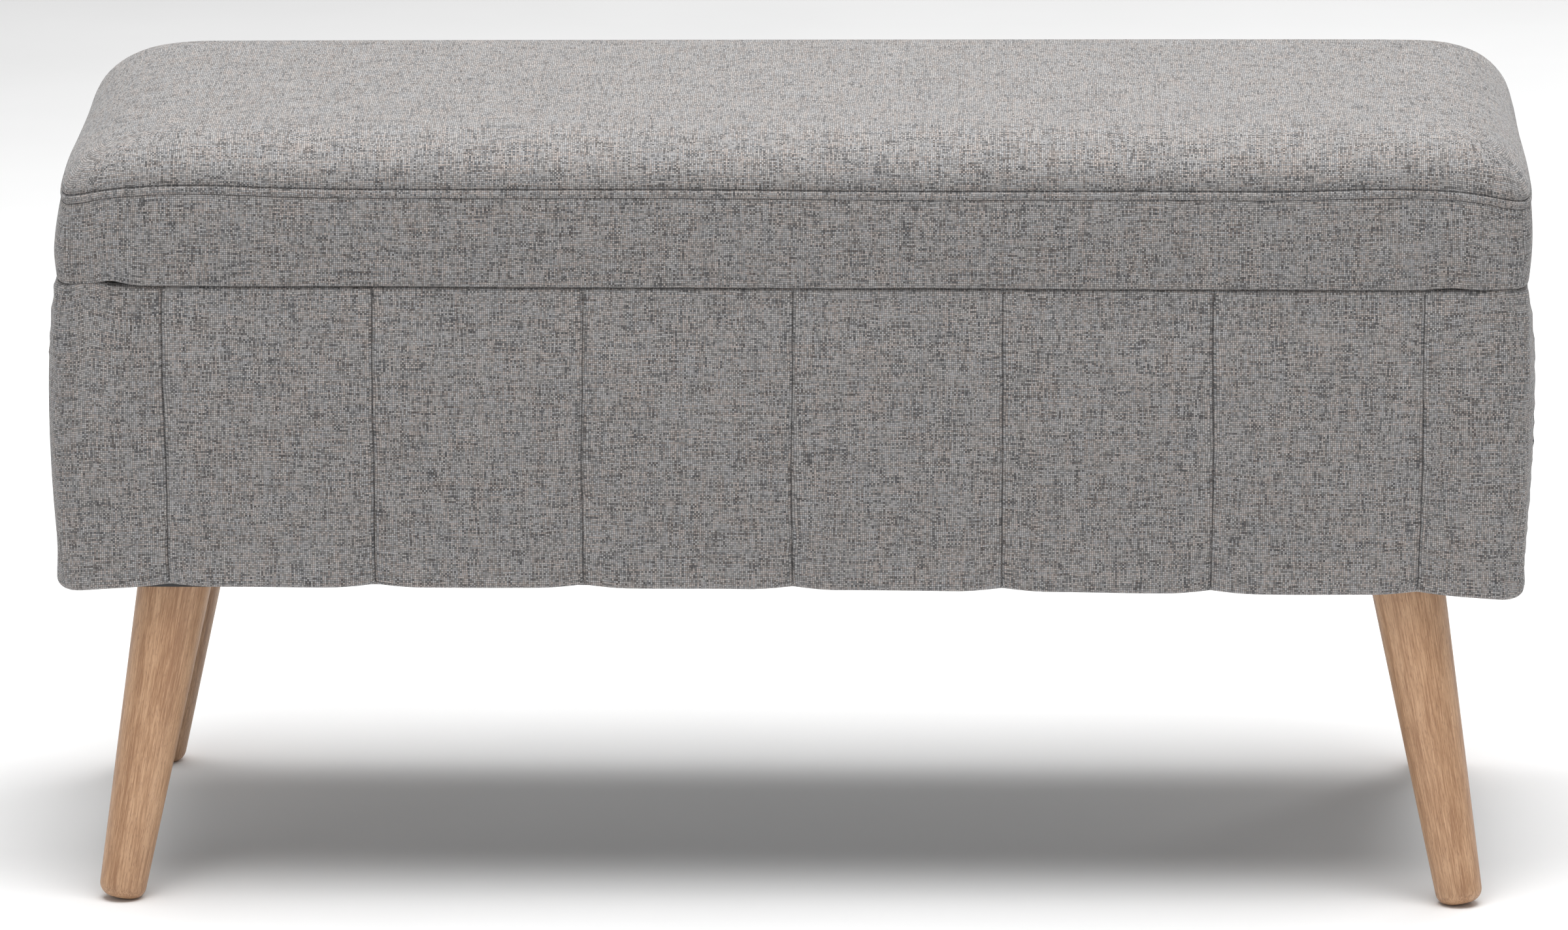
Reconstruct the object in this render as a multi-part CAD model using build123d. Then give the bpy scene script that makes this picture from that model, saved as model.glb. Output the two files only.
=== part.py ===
from build123d import *
from math import acos, asin, cos, degrees, hypot, radians, sin, sqrt
import os

# Upholstered storage bench: a padded box on four splayed legs, under a padded lid on back hinges and
# two gas stays. X runs along the bench, the front faces -Y, +Z is up, and the origin is on the floor
# under the middle of the bench. Millimetres.

# ---- overall sizes ----
bench_length = 1000.0  # over the padded end walls
bench_depth = 400.0  # over the padded front and back walls
leg_height = 222.0  # floor to the underside of the box
box_height = 206.0  # underside of the box to the middle of the parting gap
band_height = 57.0  # middle of the parting gap to the lid's top seam
crown_height = 47.0  # top seam to the top of the seat

# ---- soft layers ----
cover_thick = 1.2
lining_thick = 0.8
dust_cover_thick = 0.6
wall_foam = 12.0
edge_foam = 6.0  # foam wrapped round the lid board's edges
layer_gap = 0.2  # between a soft layer and what it covers
corner_radius = 28.0  # upright corners, on the cover
edge_round = 8.0  # padded edges at the parting gap and the underside
crown_round = 26.0  # rolled edge of the seat
hem_width = 30.0  # cover turned in under the box and under the lid board
dust_cover_inset = 15.0
seam_pitch = 141.0  # between the sewn channels round the box
seam_width = 1.6
seam_depth = 0.5

# ---- boards ----
wall_board = 12.0
bottom_board = 15.0
lid_board_thick = 15.0

# ---- parting gap and lid hinges ----
part_gap = 3.0
lid_open_angle = 85.0
hinge_x = (-350.0, 0.0, 350.0)
knuckle_radius = 2.5
hinge_pin_radius = 1.2
running_clear = 0.05
leaf_thick = 1.2
leaf_width = 22.0
leaf_length = 60.0
leaf_offset = 0.1  # each leaf stands this far from the hinge's middle plane
knuckle_gap = 0.3
leaf_screw_pitch = 40.0
leaf_screw_setback = 17.0

# ---- legs ----
leg_inset_x = 83.0  # end of the bench to the middle of the leg's top
leg_inset_y = 44.0
foot_reach_x = 38.0  # how far the foot stands outside the leg's top
foot_reach_y = 28.0
leg_top_radius = 25.0
foot_radius = 15.5
foot_round = 9.0
foot_wear = 0.6  # flat that the foot stands on
plate_thick = 2.5
plate_corner = 6.0
plate_screw_edge = 7.0  # leg plate's screws to its edge
leg_screw_gap = 3.5  # leg's top to the heads of the plate's screws
boss_radius = 7.0
boss_height = 9.0
bolt_radius = 4.0
bolt_in_leg = 35.0

# ---- gas stays ----
stay_setback = 41.0  # box pivot in front of the hinge pins
stay_base_height = 26.0  # box pivot over the storage floor
stay_drop = 11.0  # lid pivot under the hinge pins
stay_inset = 14.0  # storage end wall to the middle of the stay
stud_radius = 3.0
shoulder_radius = 5.0
eye_radius = 6.5
eye_width = 8.0
eye_gap = 0.2
eye_neck_radius = 5.0
eye_reach = 9.0  # pivot to where the tube or the rod starts
tube_radius = 7.5
tube_wall = 1.0
tube_end = 2.0
rod_radius = 3.0
slide_clear = 0.3
piston_length = 5.0
guide_length = 8.0
travel_spare = 1.5
clip_radius = 5.5
clip_thick = 1.0
bracket_thick = 2.0
box_bracket_width = 24.0
box_bracket_height = 40.0
box_bracket_screws = 26.0
lid_bracket_width = 36.0
lid_bracket_length = 30.0
lid_bracket_screws = 24.0
ear_clear = 1.0  # tube to the lid bracket's ear
ear_margin = 3.0  # ear beyond the eye

# ---- screws: shank radius, head radius, head depth, length ----
wall_screw = (2.0, 4.0, 2.0, 40.0)
leaf_screw = (1.5, 2.7, 1.1, 14.0)
bracket_screw = (1.75, 3.4, 1.7, 10.0)
plate_screw = (2.0, 4.0, 2.0, 13.0)
screw_clear = 0.1
wall_screw_margin = 28.0  # lowest and highest wall screw to the wall's edge
bottom_screw_x = (-300.0, -100.0, 100.0, 300.0)
bottom_screw_y = (-70.0, 70.0)

# ---- heights worked out from the sizes above ----
z_parting = leg_height + box_height
z_box_top = z_parting - part_gap / 2
z_lid_low = z_parting + part_gap / 2
z_seam = z_parting + band_height
z_top = z_seam + crown_height
z_bottom_board = leg_height + cover_thick + layer_gap
z_storage = z_bottom_board + bottom_board + lining_thick
z_wall_low = z_bottom_board + bottom_board
z_wall_top = z_box_top - cover_thick - layer_gap
z_lid_board = z_lid_low + cover_thick + layer_gap
z_lid_lining = z_lid_low - layer_gap - lining_thick
z_dust_cover = leg_height - layer_gap - dust_cover_thick
z_plate = z_dust_cover - layer_gap - plate_thick

# ---- plan sizes ----
board_inset = cover_thick + layer_gap + wall_foam
frame_length = bench_length - 2 * board_inset
frame_depth = bench_depth - 2 * board_inset
inner_length = frame_length - 2 * wall_board
inner_depth = frame_depth - 2 * wall_board
storage_half = inner_length / 2 - lining_thick
lid_board_inset = cover_thick + layer_gap + edge_foam
plate_screw_pitch = sqrt(2) * (leg_top_radius + plate_screw[1] + leg_screw_gap)
plate_size = plate_screw_pitch + 2 * plate_screw_edge

# ---- hinge line and stay pivots ----
hinge_y = bench_depth / 2 - knuckle_radius
hinge_z = z_parting
box_pivot = (hinge_y - stay_setback, z_storage + stay_base_height)
stay_radius = hypot(stay_setback, hinge_z - box_pivot[1])
lid_pivot = (hinge_y - sqrt(stay_radius**2 - stay_drop**2), hinge_z - stay_drop)
closed_angle = degrees(acos(stay_setback / stay_radius) - asin(stay_drop / stay_radius))
stay_closed = 2 * stay_radius * sin(radians(closed_angle / 2))
stay_open = 2 * stay_radius * sin(radians((closed_angle + lid_open_angle) / 2))
stroke = stay_open - stay_closed
tube_length = tube_end + travel_spare + piston_length + stroke + travel_spare + guide_length
stay_x = storage_half - stay_inset

nodes = {}


# ---- helpers ----
def block(x_span, y_span, z_span):
    """Box between pairs of coordinates, given in either order."""
    spans = (x_span, y_span, z_span)
    middle = [sum(span) / 2 for span in spans]
    return Pos(*middle) * Box(*[abs(span[1] - span[0]) for span in spans])


def slab(length, depth, low, high):
    """Box centred on the bench's middle, between two heights."""
    return block((-length / 2, length / 2), (-depth / 2, depth / 2), (low, high))


def padded_block(inset, low, high, top_round, low_round):
    """Solid with the bench's plan, smaller by inset on every face, its edges rolled to suit."""
    plan = RectangleRounded(bench_length - 2 * inset, bench_depth - 2 * inset, corner_radius - inset)
    body = Pos(0, 0, low + inset) * extrude(plan, high - low - 2 * inset)
    body = fillet(body.faces().sort_by(Axis.Z)[-1].edges(), top_round - inset)
    return fillet(body.faces().sort_by(Axis.Z)[0].edges(), low_round - inset)


def rod_between(start, end, radius):
    """Cylinder from one point to another."""
    line = Vector(*end) - Vector(*start)
    return extrude(Plane(origin=start, z_dir=line) * Circle(radius), line.length)


def screw(size, place, grow=0.0):
    """Countersunk screw whose head lies in the place's XY plane and points along its -Z.
    With grow, the slightly larger hole that it sits in."""
    shank, head, head_depth, length = size
    cone = Pos(0, 0, -head_depth / 2) * Cone(shank + grow, head + grow, head_depth)
    pin = Pos(0, 0, -(length + grow) / 2) * Cylinder(shank + grow, length + grow)
    return place * (cone + pin)


def screws(size, places, grow=0.0):
    return [screw(size, place, grow) for place in places]


def corners():
    """The four corners as (name, x sign, y sign)."""
    for y_name, y_sign in (("front", -1), ("back", 1)):
        for x_name, x_sign in (("left", -1), ("right", 1)):
            yield f"{y_name}_{x_name}", x_sign, y_sign


sides = (("left", -1), ("right", 1))

# ---- where the screws go ----
point_back = Rotation(90, 0, 0)  # a screw that points to +Y
point_front = Rotation(-90, 0, 0)
point_up = Rotation(180, 0, 0)

wall_screw_z = (
    z_wall_low + wall_screw_margin,
    (z_wall_low + z_wall_top) / 2,
    z_wall_top - wall_screw_margin,
)
end_wall_x = frame_length / 2 - wall_board / 2
long_wall_y = frame_depth / 2 - wall_board / 2
wall_screw_places = [
    Pos(x_sign * end_wall_x, y_sign * frame_depth / 2, z) * (point_back if y_sign < 0 else point_front)
    for _, x_sign, y_sign in corners()
    for z in wall_screw_z
]
bottom_screw_places = [
    Pos(x, y_sign * long_wall_y, z_bottom_board) * point_up for x in bottom_screw_x for y_sign in (-1, 1)
] + [
    Pos(x_sign * end_wall_x, y, z_bottom_board) * point_up for x_sign in (-1, 1) for y in bottom_screw_y
]
leg_top = {
    name: (x_sign * (bench_length / 2 - leg_inset_x), y_sign * (bench_depth / 2 - leg_inset_y))
    for name, x_sign, y_sign in corners()
}
plate_screw_places = [
    Pos(x + i * plate_screw_pitch / 2, y + j * plate_screw_pitch / 2, z_plate) * point_up
    for x, y in leg_top.values()
    for i in (-1, 1)
    for j in (-1, 1)
]
leaf_screw_y = hinge_y - leaf_screw_setback
leaf_face = leaf_offset + leaf_thick
box_leaf_screw_places = [
    Pos(x + i * leaf_screw_pitch / 2, leaf_screw_y, hinge_z - leaf_offset) for x in hinge_x for i in (-1, 1)
]
lid_leaf_screw_places = [
    Pos(x + i * leaf_screw_pitch / 2, leaf_screw_y, hinge_z + leaf_offset) * point_up
    for x in hinge_x
    for i in (-1, 1)
]
box_bracket_x = storage_half - bracket_thick
box_bracket_screw_places = [
    Pos(x_sign * box_bracket_x, box_pivot[0], box_pivot[1] + i * box_bracket_screws / 2)
    * Rotation(0, -90 * x_sign, 0)
    for _, x_sign in sides
    for i in (-1, 1)
]
ear_x = stay_x + tube_radius + ear_clear
z_lid_bracket = z_lid_lining - layer_gap - bracket_thick
lid_bracket_mid_x = ear_x + bracket_thick - lid_bracket_length / 2
lid_bracket_screw_places = [
    Pos(x_sign * lid_bracket_mid_x, lid_pivot[0] + i * lid_bracket_screws / 2, z_lid_bracket) * point_up
    for _, x_sign in sides
    for i in (-1, 1)
]

# ---- box: boards ----
wall_holes = screws(wall_screw, wall_screw_places, screw_clear)
bottom_holes = screws(wall_screw, bottom_screw_places, screw_clear)
plate_holes = screws(plate_screw, plate_screw_places, screw_clear)
box_leaf_holes = screws(leaf_screw, box_leaf_screw_places, screw_clear)
lid_leaf_holes = screws(leaf_screw, lid_leaf_screw_places, screw_clear)
box_bracket_holes = screws(bracket_screw, box_bracket_screw_places, screw_clear)
lid_bracket_holes = screws(bracket_screw, lid_bracket_screw_places, screw_clear)
boss_holes = [
    Pos(x, y, z_plate + (plate_thick + boss_height) / 2)
    * Cylinder(boss_radius + screw_clear, plate_thick + boss_height + 2 * screw_clear)
    for x, y in leg_top.values()
]

for name, y_sign in (("front_panel", -1), ("back_panel", 1)):
    y_span = (y_sign * inner_depth / 2, y_sign * frame_depth / 2)
    panel = block((-frame_length / 2, frame_length / 2), y_span, (z_wall_low, z_wall_top))
    nodes[name] = panel - wall_holes - bottom_holes - (box_leaf_holes if y_sign > 0 else [])

for name, x_sign in (("left_panel", -1), ("right_panel", 1)):
    x_span = (x_sign * inner_length / 2, x_sign * frame_length / 2)
    panel = block(x_span, (-inner_depth / 2, inner_depth / 2), (z_wall_low, z_wall_top))
    nodes[name] = panel - wall_holes - bottom_holes - box_bracket_holes

nodes["bottom_panel"] = (
    slab(frame_length, frame_depth, z_bottom_board, z_wall_low) - bottom_holes - plate_holes - boss_holes
)
nodes["wall_screws"] = Compound(children=screws(wall_screw, wall_screw_places))
nodes["bottom_screws"] = Compound(children=screws(wall_screw, bottom_screw_places))

# ---- box: foam on the walls, one slab for each, the long ones with the rounded corners ----
foam_ring = padded_block(cover_thick + layer_gap, leg_height, z_box_top, edge_round, edge_round) - slab(
    frame_length, frame_depth, leg_height, z_box_top
)
for name, y_sign in (("front_padding", -1), ("back_padding", 1)):
    half = block(
        (-bench_length, bench_length), (y_sign * frame_depth / 2, y_sign * bench_depth), (0, z_top)
    )
    nodes[name] = foam_ring & half
for name, x_sign in (("left_padding", -1), ("right_padding", 1)):
    end = block(
        (x_sign * frame_length / 2, x_sign * bench_length), (-frame_depth / 2, frame_depth / 2), (0, z_top)
    )
    nodes[name] = foam_ring & end

# ---- box: cover with its sewn channels, turned in over the walls and under the bottom ----
box_cover = (
    padded_block(0, leg_height, z_box_top, edge_round, edge_round)
    - padded_block(cover_thick, leg_height, z_box_top, edge_round, edge_round)
    - slab(inner_length, inner_depth, z_wall_top, z_parting)
    - slab(bench_length - 2 * hem_width, bench_depth - 2 * hem_width, 0, z_wall_low)
)


def seam_places(width):
    """Seams at the pitch, counted out from the middle of a face as far as the corners allow."""
    reach = int((width / 2 - corner_radius) // seam_pitch)
    return [seam_pitch * i for i in range(-reach, reach + 1)]


seam_span = (leg_height + edge_round, z_box_top - edge_round)
for x in seam_places(bench_length):
    for y_sign in (-1, 1):
        groove_y = (y_sign * bench_depth / 2, y_sign * (bench_depth / 2 - seam_depth))
        box_cover -= block((x - seam_width / 2, x + seam_width / 2), groove_y, seam_span)
for y in seam_places(bench_depth):
    for x_sign in (-1, 1):
        groove_x = (x_sign * bench_length / 2, x_sign * (bench_length / 2 - seam_depth))
        box_cover -= block(groove_x, (y - seam_width / 2, y + seam_width / 2), seam_span)
nodes["box_cover"] = box_cover - plate_holes - box_leaf_holes

# ---- box: inner lining and dust cover ----
nodes["storage_lining"] = (
    slab(inner_length, inner_depth, z_wall_low, z_wall_top)
    - slab(2 * storage_half, inner_depth - 2 * lining_thick, z_storage, z_box_top)
    - box_bracket_holes
)
nodes["dust_cover"] = (
    slab(
        bench_length - 2 * dust_cover_inset,
        bench_depth - 2 * dust_cover_inset,
        z_dust_cover,
        z_dust_cover + dust_cover_thick,
    )
    - plate_holes
    - boss_holes
)

# ---- legs, their plates and bolts ----
leg_run = hypot(foot_reach_x, foot_reach_y)
leg_tilt = radians(90) - asin(z_plate / hypot(leg_run, z_plate))
foot_lift = (foot_radius - foot_round) * sin(leg_tilt) + foot_round * (1 - cos(leg_tilt)) - foot_wear
leg_length = hypot(leg_run, z_plate - foot_lift)
bolt_top = z_plate + plate_thick + boss_height
bolt_low = z_plate - bolt_in_leg

for name, x_sign, y_sign in corners():
    x, y = leg_top[name]
    bolt_hole = rod_between(
        (x, y, bolt_low - screw_clear), (x, y, bolt_top + screw_clear), bolt_radius + screw_clear
    )
    square = RectangleRounded(plate_size, plate_size, plate_corner)
    plate = Pos(x, y, z_plate) * extrude(square, plate_thick)
    boss = rod_between((x, y, z_plate), (x, y, bolt_top), boss_radius)
    nodes[f"{name}_leg_plate"] = plate + boss - plate_holes - bolt_hole

    foot = (x + x_sign * foot_reach_x, y + y_sign * foot_reach_y, foot_lift)
    axis = Vector(x, y, z_plate) - Vector(*foot)
    overrun = 2 * leg_top_radius
    taper = (leg_top_radius - foot_radius) / leg_length
    turned = Cone(
        foot_radius,
        leg_top_radius + taper * overrun,
        leg_length + overrun,
        align=(Align.CENTER, Align.CENTER, Align.MIN),
    )
    turned = fillet(turned.edges().sort_by(Axis.Z)[0], foot_round)
    turned = Plane(origin=foot, z_dir=axis) * turned
    reach = bench_length
    between = block((-reach, reach), (-reach, reach), (0, z_plate))
    nodes[f"{name}_leg"] = (turned & between) - bolt_hole

nodes["hanger_bolts"] = Compound(
    children=[rod_between((x, y, bolt_low), (x, y, bolt_top), bolt_radius) for x, y in leg_top.values()]
)
nodes["leg_plate_screws"] = Compound(children=screws(plate_screw, plate_screw_places))

# ---- lid: board, foam, cover and lining ----
lid_plan = (bench_length - 2 * lid_board_inset, bench_depth - 2 * lid_board_inset)
z_lid_board_top = z_lid_board + lid_board_thick
nodes["lid_board"] = (
    Pos(0, 0, z_lid_board)
    * extrude(RectangleRounded(*lid_plan, corner_radius - lid_board_inset), lid_board_thick)
    - lid_leaf_holes
    - lid_bracket_holes
)
board_space = Pos(0, 0, z_lid_low) * extrude(
    RectangleRounded(*lid_plan, corner_radius - lid_board_inset), z_lid_board_top - z_lid_low
)
foam_inset = cover_thick + layer_gap
nodes["lid_foam"] = padded_block(foam_inset, z_lid_low, z_top, crown_round, edge_round) - board_space

lid_cover = (
    padded_block(0, z_lid_low, z_top, crown_round, edge_round)
    - padded_block(cover_thick, z_lid_low, z_top, crown_round, edge_round)
    - slab(bench_length - 2 * hem_width, bench_depth - 2 * hem_width, z_parting, z_lid_board)
    - lid_leaf_holes
)
nodes["lid_band_cover"] = lid_cover & slab(bench_length, bench_depth, z_parting, z_seam)
nodes["lid_top_cover"] = lid_cover & slab(bench_length, bench_depth, z_seam, z_top)
lining_margin = 3 * lining_thick
nodes["lid_lining"] = (
    slab(
        inner_length - 2 * lining_margin,
        inner_depth - 2 * lining_margin,
        z_lid_lining,
        z_lid_lining + lining_thick,
    )
    - lid_bracket_holes
)

# ---- lid hinges: two knuckles on the box leaf, one between them on the lid leaf ----
third = leaf_length / 3
inner_knuckle = (-third / 2 + knuckle_gap / 2, third / 2 - knuckle_gap / 2)
outer_knuckles = ((-leaf_length / 2, -third / 2 - knuckle_gap / 2), (third / 2 + knuckle_gap / 2, leaf_length / 2))


def hinge_leaf(x, z_sign, own_knuckles, other_knuckles, holes):
    """Leaf with its knuckles rolled round the pin, notched to let the other leaf's knuckles turn."""
    leaf = block(
        (x - leaf_length / 2, x + leaf_length / 2),
        (hinge_y - leaf_width, hinge_y),
        (hinge_z + z_sign * leaf_offset, hinge_z + z_sign * leaf_face),
    )
    swing = knuckle_radius + knuckle_gap
    for low, high in other_knuckles:
        leaf -= block(
            (x + low - knuckle_gap, x + high + knuckle_gap),
            (hinge_y - swing, hinge_y + swing),
            (hinge_z - swing, hinge_z + swing),
        )
    for low, high in own_knuckles:
        leaf += rod_between((x + low, hinge_y, hinge_z), (x + high, hinge_y, hinge_z), knuckle_radius)
    ends = (x - leaf_length, hinge_y, hinge_z), (x + leaf_length, hinge_y, hinge_z)
    return leaf - rod_between(*ends, hinge_pin_radius + running_clear) - holes


for name, x in zip(("left", "middle", "right"), hinge_x):
    nodes[f"{name}_hinge_box_leaf"] = hinge_leaf(x, -1, outer_knuckles, [inner_knuckle], box_leaf_holes)
    nodes[f"{name}_hinge_lid_leaf"] = hinge_leaf(x, 1, [inner_knuckle], outer_knuckles, lid_leaf_holes)
nodes["hinge_pins"] = Compound(
    children=[
        rod_between(
            (x - leaf_length / 2, hinge_y, hinge_z), (x + leaf_length / 2, hinge_y, hinge_z), hinge_pin_radius
        )
        for x in hinge_x
    ]
)
nodes["hinge_box_screws"] = Compound(children=screws(leaf_screw, box_leaf_screw_places))
nodes["hinge_lid_screws"] = Compound(children=screws(leaf_screw, lid_leaf_screw_places))

# ---- gas stays ----
stud_end = stay_x - eye_width / 2 - eye_gap - clip_thick - eye_gap
shoulder_end = stay_x + eye_width / 2 + eye_gap


def stud(x_sign, pivot, face_x):
    """Shouldered pin that stands inwards from a bracket face and carries an eye."""
    shank = rod_between((x_sign * face_x, *pivot), (x_sign * stud_end, *pivot), stud_radius)
    return shank + rod_between((x_sign * face_x, *pivot), (x_sign * shoulder_end, *pivot), shoulder_radius)


def clip(x_sign, pivot):
    """Ring that keeps the eye on its stud."""
    inner_x = stay_x - eye_width / 2 - eye_gap
    ends = (x_sign * inner_x, *pivot), (x_sign * (inner_x - clip_thick), *pivot)
    return rod_between(*ends, clip_radius) - rod_between(*ends, stud_radius + running_clear)


def eye(x_sign, pivot, towards):
    """Barrel on the stud, with the neck that the tube or the rod is screwed to."""
    centre = Vector(x_sign * stay_x, *pivot)
    neck_end = centre + (Vector(x_sign * stay_x, *towards) - centre).normalized() * eye_reach
    ends = (
        (x_sign * (stay_x - eye_width / 2), *pivot),
        (x_sign * (stay_x + eye_width / 2), *pivot),
    )
    neck = rod_between(centre, neck_end, eye_neck_radius)
    bore = rod_between(*ends, stud_radius + running_clear)
    return rod_between(*ends, eye_radius) + (neck & rod_between(*ends, 2 * eye_reach)) - bore


box_clips = []
lid_clips = []
for name, x_sign in sides:
    plate = block(
        (x_sign * box_bracket_x, x_sign * storage_half),
        (box_pivot[0] - box_bracket_width / 2, box_pivot[0] + box_bracket_width / 2),
        (box_pivot[1] - box_bracket_height / 2, box_pivot[1] + box_bracket_height / 2),
    )
    nodes[f"{name}_stay_box_bracket"] = plate + stud(x_sign, box_pivot, box_bracket_x) - box_bracket_holes

    flange = block(
        (x_sign * (ear_x + bracket_thick), x_sign * (ear_x + bracket_thick - lid_bracket_length)),
        (lid_pivot[0] - lid_bracket_width / 2, lid_pivot[0] + lid_bracket_width / 2),
        (z_lid_bracket, z_lid_bracket + bracket_thick),
    )
    ear_half = eye_radius + ear_margin
    ear = block(
        (x_sign * ear_x, x_sign * (ear_x + bracket_thick)),
        (lid_pivot[0] - ear_half, lid_pivot[0] + ear_half),
        (lid_pivot[1] - ear_half, z_lid_bracket + bracket_thick),
    )
    nodes[f"{name}_stay_lid_bracket"] = flange + ear + stud(x_sign, lid_pivot, ear_x) - lid_bracket_holes
    box_clips.append(clip(x_sign, box_pivot))
    lid_clips.append(clip(x_sign, lid_pivot))

    top = Vector(x_sign * stay_x, *lid_pivot)
    down = (Vector(x_sign * stay_x, *box_pivot) - top).normalized()
    bore_radius = tube_radius - tube_wall
    tube_start = top + down * eye_reach
    mouth = tube_start + down * tube_length
    guide_start = mouth - down * guide_length
    piston_start = tube_start + down * (tube_end + travel_spare)
    rod_start = piston_start + down * piston_length
    rod_end = top + down * (stay_closed - eye_reach)

    nodes[f"{name}_stay_tube"] = rod_between(tube_start, mouth, tube_radius) - rod_between(
        tube_start + down * tube_end, mouth + down, bore_radius
    )
    guide = rod_between(guide_start, mouth, bore_radius - running_clear)
    nodes[f"{name}_stay_guide"] = guide - rod_between(guide_start, mouth, rod_radius + slide_clear)
    nodes[f"{name}_stay_tube_eye"] = eye(x_sign, lid_pivot, box_pivot)
    nodes[f"{name}_stay_piston"] = rod_between(piston_start, rod_start, bore_radius - slide_clear)
    nodes[f"{name}_stay_rod"] = rod_between(rod_start, rod_end, rod_radius)
    nodes[f"{name}_stay_rod_eye"] = eye(x_sign, box_pivot, lid_pivot)

nodes["stay_box_clips"] = Compound(children=box_clips)
nodes["stay_lid_clips"] = Compound(children=lid_clips)
nodes["stay_box_screws"] = Compound(children=screws(bracket_screw, box_bracket_screw_places))
nodes["stay_lid_screws"] = Compound(children=screws(bracket_screw, lid_bracket_screw_places))

# ---- one file for each node ----
os.makedirs("parts", exist_ok=True)
for name, shape in nodes.items():
    export_step(shape, f"parts/{name}.step")
print(f"stay: {stay_closed:.1f} closed, {stay_open:.1f} open, {stroke:.1f} stroke, {tube_length:.1f} tube")
print(f"pivots: hinge {hinge_y:.3f} {hinge_z:.3f}, box {box_pivot}, lid {lid_pivot}, x {stay_x:.3f}")
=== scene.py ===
from math import atan2, cos, pi, sin

import bmesh
import bpy
import numpy as np
from mathutils import Matrix, Vector


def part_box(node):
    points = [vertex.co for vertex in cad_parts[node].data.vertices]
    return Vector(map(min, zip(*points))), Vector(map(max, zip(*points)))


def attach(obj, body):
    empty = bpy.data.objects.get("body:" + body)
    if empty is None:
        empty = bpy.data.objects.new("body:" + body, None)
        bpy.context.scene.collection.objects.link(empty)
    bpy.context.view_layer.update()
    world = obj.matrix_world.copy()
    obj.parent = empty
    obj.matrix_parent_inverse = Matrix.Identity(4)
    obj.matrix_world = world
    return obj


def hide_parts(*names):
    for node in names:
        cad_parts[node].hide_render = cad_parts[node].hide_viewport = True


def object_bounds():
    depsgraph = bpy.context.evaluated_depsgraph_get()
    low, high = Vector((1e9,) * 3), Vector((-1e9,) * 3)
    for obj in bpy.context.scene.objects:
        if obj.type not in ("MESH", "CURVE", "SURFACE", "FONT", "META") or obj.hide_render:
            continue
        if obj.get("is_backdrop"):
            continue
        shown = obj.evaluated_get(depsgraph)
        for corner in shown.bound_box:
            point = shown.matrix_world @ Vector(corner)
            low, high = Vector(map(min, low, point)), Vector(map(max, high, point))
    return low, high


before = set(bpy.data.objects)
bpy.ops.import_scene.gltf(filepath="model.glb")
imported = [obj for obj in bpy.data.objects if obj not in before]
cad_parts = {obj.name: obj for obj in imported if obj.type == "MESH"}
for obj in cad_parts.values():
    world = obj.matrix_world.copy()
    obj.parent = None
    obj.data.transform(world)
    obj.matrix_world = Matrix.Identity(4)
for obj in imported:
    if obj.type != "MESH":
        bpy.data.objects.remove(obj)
cad_low, cad_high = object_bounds()
mm = 0.001

# ---- studio ----
# A pale seamless floor under a large overhead softbox, with a weaker fill in front. The long lens stands
# seven metres off, a little right of the middle, and looks down at the seat.
lens_place = Vector((0.131, -7.148, 1.946))
lens_turn = -0.01938  # radians, round Z
lens_dip = 0.2315
lens_roll = -0.0006
lens_length = 244.2

lens_axis = Matrix.Rotation(-lens_turn, 3, "Z") @ Matrix.Rotation(pi / 2 - lens_dip, 3, "X")
camera = bpy.data.objects.new("camera", bpy.data.cameras.new("camera"))
camera.data.lens = lens_length
camera.data.sensor_width = 36
camera.data.clip_end = 400
camera.matrix_world = Matrix.Translation(lens_place) @ (
    lens_axis @ Matrix.Rotation(lens_roll, 3, "Z")
).to_4x4()
bpy.context.scene.collection.objects.link(camera)
bpy.context.scene.camera = camera
bpy.context.scene.view_settings.view_transform = "Standard"


def softbox(name, place, towards, size, power):
    """Square area lamp."""
    lamp = bpy.data.lights.new(name, "AREA")
    lamp.size = size
    lamp.energy = power
    held = bpy.data.objects.new(name, lamp)
    aim = (Vector(towards) - Vector(place)).to_track_quat("-Z", "Y")
    held.matrix_world = Matrix.Translation(place) @ aim.to_matrix().to_4x4()
    bpy.context.scene.collection.objects.link(held)


softbox("overhead", (0.1, -0.3, 3.4), (0, 0, 0.4), 3.2, 184)
softbox("fill", (-2.2, -3.6, 1.9), (0, 0, 0.3), 2.0, 12)
softbox("rim", (1.8, 3.2, 2.2), (0, 0, 0.3), 2.0, 26)

sky = bpy.data.worlds.new("studio")
sky.use_nodes = True
sky.node_tree.nodes["Background"].inputs["Color"].default_value = (1, 1, 1, 1)
sky.node_tree.nodes["Background"].inputs["Strength"].default_value = 0.31
bpy.context.scene.world = sky


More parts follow.
